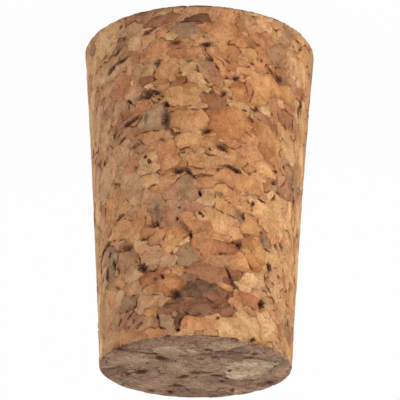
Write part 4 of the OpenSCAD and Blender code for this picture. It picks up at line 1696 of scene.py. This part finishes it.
class JointLine(Effect):
    """The crumbling line where two granules meet, the stain and painted shade on one side of it, and the
    pale chips with a painted highlight.
    """

    NAME = "joint_line"
    INPUTS = {"Place": VECTOR, "Gap": 1.0, "Strength": 0.5, "Draw": 0.5, "Width": 0.1}
    OUTPUTS = {"Mask": FLOAT, "Shade": FLOAT, "Chip highlight": FLOAT}
    CRUMBLE = 1.5  # swing of the line's edge over its width
    HAIRLINE = 0.02  # half width in millimetres of the line at its darkest
    STAIN_AND_SHADE_REACH = 0.8  # millimetres from the joint to the end of the stain and painted shade

    @classmethod
    def wire(cls, wiring: Wiring, given: Sockets) -> Sockets:
        """Builds the inside, as Effect.wire says."""
        place, gap, draw, width = given["Place"], given["Gap"], given["Draw"], given["Width"]
        grain = wiring.noise(place, 0.2, rough=0.6)
        crumble = wiring.maths("MULTIPLY_ADD", grain, cls.CRUMBLE, -cls.CRUMBLE / 2)
        moved = wiring.add_up(gap, (crumble, width))
        broken = wiring.rise(wiring.noise(place, 0.6, detail=3.0, rough=0.6), 0.40, 0.58)
        swell = wiring.maths("MULTIPLY_ADD", broken, 0.6, 0.3)
        wide = wiring.product(width, wiring.maths("ADD", given["Strength"], swell))
        line = wiring.fall(moved, cls.HAIRLINE, wide)
        known = wiring.rise(given["Strength"], -0.10, 0.8)
        # Darkening on one side of a joint: a stain, and painted shade of that granule's rounded edge.
        stain_and_shade = wiring.fall(moved, 0.0, cls.STAIN_AND_SHADE_REACH)
        cloud = wiring.rise(wiring.noise(place, 1.0, detail=3.0, rough=0.6), 0.42, 0.62)
        beside = wiring.fall(gap, 0.08, 0.24)
        # Pale chips beside a joint: partly pale crumbs, partly a painted highlight on the joint's edge.
        flake = wiring.rise(wiring.noise(place, 0.3), 0.53, 0.60)
        return {
            "Mask": wiring.product(line, broken, known),
            "Shade": wiring.product(stain_and_shade, cloud, wiring.rise(draw, 0.45, 0.55)),
            "Chip highlight": wiring.product(beside, flake, wiring.fall(draw, 0.50, 0.60)),
        }


class TornPit(Effect):
    """Ragged outline of a pit, the crumbs in it and the painted shade round it."""

    NAME = "torn_pit"
    INPUTS = {"Place": VECTOR, "Reach": 3.0, "Dark": 0.5, "Raggedness": 1.7}
    OUTPUTS = {"Mask": FLOAT, "Core": FLOAT, "Pit shade": FLOAT}
    CRUMB_SHARE = 0.5  # share of the pit's darkness that a crumb in it takes away

    @classmethod
    def wire(cls, wiring: Wiring, given: Sockets) -> Sockets:
        """Builds the inside, as Effect.wire says."""
        place, dark = given["Place"], given["Dark"]
        torn = wiring.maths("SUBTRACT", wiring.noise(place, 0.24, detail=3.0, rough=0.65), 0.5)
        edge = wiring.add_up(given["Reach"], (torn, given["Raggedness"]))
        crumb = wiring.rise(wiring.noise(place, 0.26, detail=1.0), 0.56, 0.64)
        kept = wiring.maths("SUBTRACT", 1.0, wiring.product(crumb, cls.CRUMB_SHARE))
        cloud = wiring.rise(wiring.noise(place, 0.7), 0.30, 0.62)
        return {
            "Mask": wiring.product(wiring.fall(edge, 0.82, 1.22), kept, wiring.rise(dark, -0.3, 0.7)),
            # The core deepens with the pit's depth: painted shade over the pit's own dark brown.
            "Core": wiring.product(wiring.fall(edge, 0.20, 1.05), wiring.rise(dark, 0.0, 0.8)),
            # Painted shade round the pit, which the material makes stronger for deeper pits.
            "Pit shade": wiring.product(wiring.fall(edge, 1.0, 2.1), cloud),
        }


@dataclass(frozen=True)
class CorkFinish:
    """One finish of the cork and the numbers that set it.

    Attributes:
        name: Name of the material.
        patch_size: Size of the patches in a granule, in millimetres.
        patch_depth: Greatest share of the deep colour.
        line_spacing: Distance between growth lines, in millimetres.
        line_contrast: Share by which they change the colour.
        splinter_size: Size of the facets in a granule, in millimetres.
        splinter_contrast: Share by which they change the colour.
        speck_size: Size of the specks, in millimetres.
        speck_threshold: Noise level above which specks show.
        speck_contrast: Share by which they darken the colour.
        fibre: Share by which the fine fibres change the colour.
        mottle: Share by which the finest mottling changes the colour.
        joint_width: Width of a strong joint, in millimetres.
        stain_and_shade: Greatest share of the stain and painted shade beside a joint.
        chip: Share of the pale colour in the chips beside a joint, partly pale crumbs and partly a painted
            highlight on the joint's edge.
        bump: Height of the fine grain, in metres.
        roughness: Lowest and highest roughness.
    """

    name: str
    patch_size: float
    patch_depth: float
    line_spacing: float
    line_contrast: float
    splinter_size: float
    splinter_contrast: float
    speck_size: float
    speck_threshold: float
    speck_contrast: float
    fibre: float
    mottle: float
    joint_width: float
    stain_and_shade: float
    chip: float
    bump: float
    roughness: tuple[float, float]

    JOINT_COLOUR = (0.32, 0.20, 0.12, 1.0)
    # A pit runs from SHALLOW_PIT to DEEP_PIT as it gets deeper: its own dark brown, taken towards black by
    # painted shade.
    SHALLOW_PIT = (0.14, 0.066, 0.036, 1.0)
    DEEP_PIT = (0.045, 0.015, 0.007, 1.0)
    CHIP_HIGHLIGHT_COLOUR = (0.66, 0.46, 0.31, 1.0)
    STAIN_AND_SHADE_COLOUR = (0.67, 0.54, 0.44, 1.0)
    # Colour of the painted shade round a pit.
    PIT_SHADE_COLOUR = (0.66, 0.54, 0.47, 1.0)
    SPECK_COLOUR = (0.46, 0.33, 0.24, 1.0)
    CHIP_HIGHLIGHT_GAIN = 2.4  # how much the green of the tone counts in the share of a chip and its painted highlight
    EDGE_SHARE = 0.6  # share of the stain and shade colour in the dark edge of a facet
    PIT_SHARE = 0.94  # greatest share of the pit's own colour
    SLIVER_SIZE, SLIVER_CONTRAST = 0.42, 0.8  # of the small facets, over those of the large ones
    MOTTLE_PITCH, GRAIN_PITCH = 0.16, 0.11  # millimetres
    SPECULAR = 0.12
    # Heights over that of the fine grain.
    LINE_RISE, FACET_RISE, SLIVER_RISE, SPECK_RISE, JOINT_RISE = 0.25, 0.45, 0.3, -0.4, -0.8

    def material(self) -> bpy.types.Material:
        """Builds the material.

        Returns:
            The material, which reads the values that the stopper's mesh carries.
        """
        made = bpy.data.materials.new(self.name)
        made.use_nodes = True
        made.node_tree.nodes.clear()
        wiring = Wiring(made.node_tree)
        place = wiring.vector("SCALE", wiring.node("ShaderNodeTexCoord").outputs["Object"], 1 / METRES)
        grain = {"place": place, "run": wiring.attribute("grain_run", "Vector")}
        draw = wiring.attribute("granule_draw")
        gap, pit_dark = wiring.attribute("joint_gap"), wiring.attribute("pit_dark")
        tone = GranuleTone.place(
            wiring,
            **grain,
            light=wiring.attribute("tone_light", "Color"),
            deep=wiring.attribute("tone_deep", "Color"),
            draw=draw,
            gap=gap,
            slope=wiring.attribute("tone_slope"),
            patch_size=self.patch_size,
            patch_depth=self.patch_depth,
        )["Colour"]
        lines = GrowthLines.place(wiring, **grain, draw=draw, spacing=self.line_spacing)["Lines"]
        facets = Splinters.place(wiring, **grain, size=self.splinter_size)
        sliver_size = self.splinter_size * self.SLIVER_SIZE
        slivers = Splinters.place(wiring, **grain, size=sliver_size, stretch=0.3)
        specks = GrainSpecks.place(wiring, **grain, size=self.speck_size, threshold=self.speck_threshold)
        strength = wiring.attribute("joint_strength")
        joint = JointLine.place(
            wiring, place=place, gap=gap, strength=strength, draw=draw, width=self.joint_width
        )
        pit = TornPit.place(wiring, place=place, reach=wiring.attribute("pit_reach"), dark=pit_dark)
        fine = wiring.noise(place, self.MOTTLE_PITCH, rough=0.6)
        gain = wiring.add_up(
            1.0,
            (wiring.maths("SUBTRACT", fine, 0.5), 2 * self.mottle),
            (lines, self.line_contrast),
            (facets["Shade"], self.splinter_contrast),
            (slivers["Shade"], self.splinter_contrast * self.SLIVER_CONTRAST),
            (specks["Fibre"], self.fibre),
        )
        colour = wiring.vector("SCALE", tone, gain)
        # Pale chips beside a joint, partly pale crumbs and partly a painted highlight.
        pale = wiring.vector("DOT_PRODUCT", tone, (0.0, self.CHIP_HIGHLIGHT_GAIN * self.chip, 0.0))
        colour = wiring.blend(wiring.product(joint["Chip highlight"], pale), colour, self.CHIP_HIGHLIGHT_COLOUR)
        edge = wiring.product(wiring.maths("MAXIMUM", facets["Edge"], slivers["Edge"]), self.EDGE_SHARE)
        # Stain and painted shade beside a joint, and the dark edges of facets.
        stain_and_shade = wiring.maths("MAXIMUM", wiring.product(joint["Shade"], self.stain_and_shade), edge)
        # Painted shade round each pit, stronger where the pit is deeper.
        pit_shade = wiring.product(pit["Pit shade"], wiring.maths("MULTIPLY_ADD", pit_dark, 0.5, 0.25))
        for share, darker in (
            (stain_and_shade, self.STAIN_AND_SHADE_COLOUR),
            (pit_shade, self.PIT_SHADE_COLOUR),
            (wiring.product(specks["Mask"], self.speck_contrast), self.SPECK_COLOUR),
            (joint["Mask"], self.JOINT_COLOUR),
        ):
            colour = wiring.blend(share, colour, darker, "MULTIPLY")
        # The pit's own dark brown, deepened with the pit's depth as painted shade.
        hollow = wiring.blend(pit["Core"], self.SHALLOW_PIT, self.DEEP_PIT)
        colour = wiring.blend(wiring.product(pit["Mask"], self.PIT_SHARE), colour, hollow)
        height = wiring.add_up(
            wiring.noise(place, self.GRAIN_PITCH, detail=3.0, rough=0.65),
            (lines, self.LINE_RISE),
            (facets["Shade"], self.FACET_RISE),
            (slivers["Shade"], self.SLIVER_RISE),
            (specks["Mask"], self.SPECK_RISE),
            (joint["Mask"], self.JOINT_RISE),
        )
        bump = wiring.node("ShaderNodeBump")
        wiring.feed_all(bump, {"Strength": 1.0, "Distance": self.bump, "Height": height})
        shader = wiring.node("ShaderNodeBsdfPrincipled")
        low, high = self.roughness
        roughness = wiring.maths("MULTIPLY_ADD", fine, high - low, low)
        wiring.feed_all(shader, {"Base Color": colour, "Roughness": roughness, "Normal": bump.outputs[0]})
        wiring.feed_all(shader, {"Specular IOR Level": self.SPECULAR})
        result = wiring.node("ShaderNodeOutputMaterial")
        wiring.feed(result.inputs[0], shader.outputs[0])
        return made


GROUND_SIDE = CorkFinish(
    name="ground_cork",
    patch_size=1.9,
    patch_depth=0.95,
    line_spacing=0.34,
    line_contrast=0.08,
    splinter_size=1.0,
    splinter_contrast=0.085,
    speck_size=0.19,
    speck_threshold=0.62,
    speck_contrast=0.6,
    fibre=0.19,
    mottle=0.24,
    joint_width=0.09,
    stain_and_shade=0.7,
    chip=0.55,
    bump=0.00004,
    roughness=(0.72, 0.92),
)
SAWN_END = CorkFinish(
    name="sawn_cork",
    patch_size=1.3,
    patch_depth=1.0,
    line_spacing=0.3,
    line_contrast=0.05,
    splinter_size=0.8,
    splinter_contrast=0.13,
    speck_size=0.17,
    speck_threshold=0.56,
    speck_contrast=0.7,
    fibre=0.26,
    mottle=0.60,
    joint_width=0.09,
    stain_and_shade=0.6,
    chip=0.3,
    bump=0.00006,
    roughness=(0.85, 0.98),
)


@dataclass(frozen=True)
class Lamp:
    """A soft square lamp that faces the stopper.

    Attributes:
        name: Its name.
        turn: Degrees round from the front line towards -X.
        climb: Degrees above the floor.
        distance: Metres from the stopper's middle.
        size: Length of its side in metres.
        power: Its power in watts.
        tint: Its red, green and blue, close to 1 each.
    """

    name: str
    turn: float
    climb: float
    distance: float
    size: float
    power: float
    tint: tuple[float, float, float] = (1.0, 1.0, 1.0)

    def hang(self, target: Vector) -> bpy.types.Object:
        """Puts the lamp in the scene.

        Args:
            target: The point that it faces, in metres.

        Returns:
            The lamp.
        """
        turn, climb = math.radians(self.turn), math.radians(self.climb)
        away = Vector(
            (-math.sin(turn) * math.cos(climb), -math.cos(turn) * math.cos(climb), math.sin(climb))
        )
        data = bpy.data.lights.new(self.name, "AREA")
        data.shape, data.size, data.energy, data.color = "SQUARE", self.size, self.power, self.tint
        lamp = bpy.data.objects.new(self.name, data)
        lamp.location = target + away * self.distance
        lamp.rotation_euler = away.to_track_quat("Z", "Y").to_euler()
        bpy.context.scene.collection.objects.link(lamp)
        return lamp


@dataclass(frozen=True)
class Studio:
    """The pale floor, the light and the camera.

    Attributes:
        floor_size: Side of the floor in metres.
        floor_glow: Share of plain white that the camera sees in the floor.
        world_light: Strength of the light from all round.
        lamps: The soft lamps.
        camera_climb: Degrees of the camera above the level of the stopper's middle.
        camera_distance: Metres from the stopper's middle to the camera.
        lens: Focal length in millimetres on a 36 mm frame.
        roll: Degrees by which the camera hangs past upside down.
        offset: How far right and up the stopper's middle is in the frame, in metres at its distance.
    """

    floor_size: float = 3.0
    floor_glow: float = 0.95
    world_light: float = 0.48
    lamps: tuple[Lamp, ...] = (
        Lamp("key_lamp", 56, 16, 0.7, 0.40, 3.2),
        Lamp("fill_lamp", -63, 20, 0.8, 0.50, 2.25, (0.87, 1.00, 1.28)),
        Lamp("back_lamp", 175, 35, 0.8, 0.50, 1.8),
    )
    camera_climb: float = 22.1
    camera_distance: float = 0.25625
    lens: float = 216.9
    roll: float = 0.74
    offset: tuple[float, float] = (-0.00026, -0.00089)

    PAPER, WHITE = (0.9, 0.9, 0.9, 1.0), (1.0, 1.0, 1.0, 1.0)
    FRAME_WIDTH = 36.0  # millimetres
    NEAREST, FARTHEST = 0.01, 10.0  # metres from the camera within which things are drawn

    def build(self, centre: Vector) -> None:
        """Builds everything round the stopper.

        Args:
            centre: Middle of the stopper's axis, in metres.
        """
        for lamp in self.lamps:
            lamp.hang(centre)
        self._world()
        self._floor()
        self._camera(centre)

    def _seen_or_mirrored(self, wiring: Wiring) -> Socket:
        """Tells camera, mirror and see-through rays from the light that reaches the stopper.

        Args:
            wiring: Adds nodes to the shader.

        Returns:
            1 for such a ray and 0 for every other.
        """
        path = wiring.node("ShaderNodeLightPath")
        seen = wiring.maths("ADD", path.outputs["Is Camera Ray"], path.outputs["Is Glossy Ray"])
        return wiring.maths("ADD", seen, path.outputs["Is Transmission Ray"], clamp=True)

    def _world(self) -> None:
        """Lights the scene evenly from all round, and shows plain white behind the floor."""
        world = bpy.data.worlds.new("studio_world")
        bpy.context.scene.world = world
        world.use_nodes = True
        world.node_tree.nodes.clear()
        wiring = Wiring(world.node_tree)
        light, white = wiring.node("ShaderNodeBackground"), wiring.node("ShaderNodeBackground")
        wiring.feed_all(light, {"Strength": self.world_light, "Color": self.WHITE})
        wiring.feed_all(white, {"Color": self.WHITE})
        either = wiring.node("ShaderNodeMixShader")
        share = self._seen_or_mirrored(wiring)
        wiring.feed_all(either, {0: share, 1: light.outputs[0], 2: white.outputs[0]})
        wiring.feed(wiring.node("ShaderNodeOutputWorld").inputs[0], either.outputs[0])

    def _floor(self) -> None:
        """Lays the pale floor, which keeps a soft shadow under the stopper."""
        half = self.floor_size / 2
        mesh = bpy.data.meshes.new("floor")
        corners = [(-half, -half, 0), (half, -half, 0), (half, half, 0), (-half, half, 0)]
        mesh.from_pydata(corners, [], [(0, 1, 2, 3)])
        floor = bpy.data.objects.new("floor", mesh)
        bpy.context.scene.collection.objects.link(floor)
        material = bpy.data.materials.new("floor_paper")
        material.use_nodes = True
        material.node_tree.nodes.clear()
        wiring = Wiring(material.node_tree)
        paper, glow = wiring.node("ShaderNodeBsdfDiffuse"), wiring.node("ShaderNodeEmission")
        wiring.feed_all(paper, {"Color": self.PAPER})
        share = wiring.maths("MULTIPLY", self._seen_or_mirrored(wiring), self.floor_glow)
        either = wiring.node("ShaderNodeMixShader")
        wiring.feed_all(either, {0: share, 1: paper.outputs[0], 2: glow.outputs[0]})
        wiring.feed(wiring.node("ShaderNodeOutputMaterial").inputs[0], either.outputs[0])
        mesh.materials.append(material)

    def _camera(self, centre: Vector) -> None:
        """Hangs the camera upside down, so that the wide end is at the top of the picture.

        Args:
            centre: Middle of the stopper's axis, in metres.
        """
        climb, roll = math.radians(self.camera_climb), math.radians(self.roll)
        back = Vector((0, -math.cos(climb), math.sin(climb)))
        level, rise = Vector((1, 0, 0)), Vector((0, math.sin(climb), math.cos(climb)))
        right = -(math.cos(roll) * level + math.sin(roll) * rise)
        up = math.sin(roll) * level - math.cos(roll) * rise
        place = centre + back * self.camera_distance
        aim = centre - right * self.offset[0] - up * self.offset[1]
        back = (place - aim).normalized()
        right = up.cross(back).normalized()
        up = back.cross(right)
        turned = Matrix((right, up, back)).transposed().to_4x4()
        data = bpy.data.cameras.new("camera")
        data.lens, data.sensor_width = self.lens, self.FRAME_WIDTH
        data.clip_start, data.clip_end = self.NEAREST, self.FARTHEST
        camera = bpy.data.objects.new("camera", data)
        camera.matrix_world = Matrix.Translation(place) @ turned
        bpy.context.scene.collection.objects.link(camera)
        bpy.context.scene.camera = camera


def main() -> None:
    """Builds the stopper and the studio."""
    logging.basicConfig(level=logging.INFO, format="%(name)s: %(message)s")
    bpy.context.scene.view_settings.view_transform = "Standard"
    outline = Outline.from_node(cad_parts[BODY_NODE])
    low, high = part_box(BODY_NODE)
    Studio().build(Vector((0, 0, (low.z + high.z) / 2)))
    body = CorkBody(outline, Relief(), SEED)
    body.pack_granules()
    body.place_pits()
    body.cut()
    stopper = body.to_object("cork_stopper", body.carve())
    for finish in (GROUND_SIDE, SAWN_END):
        stopper.data.materials.append(finish.material())
    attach(stopper, "root")
    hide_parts(BODY_NODE)
    LOG.info("%s: %d triangles", stopper.name, len(stopper.data.polygons))


if __name__ == "__main__":
    main()
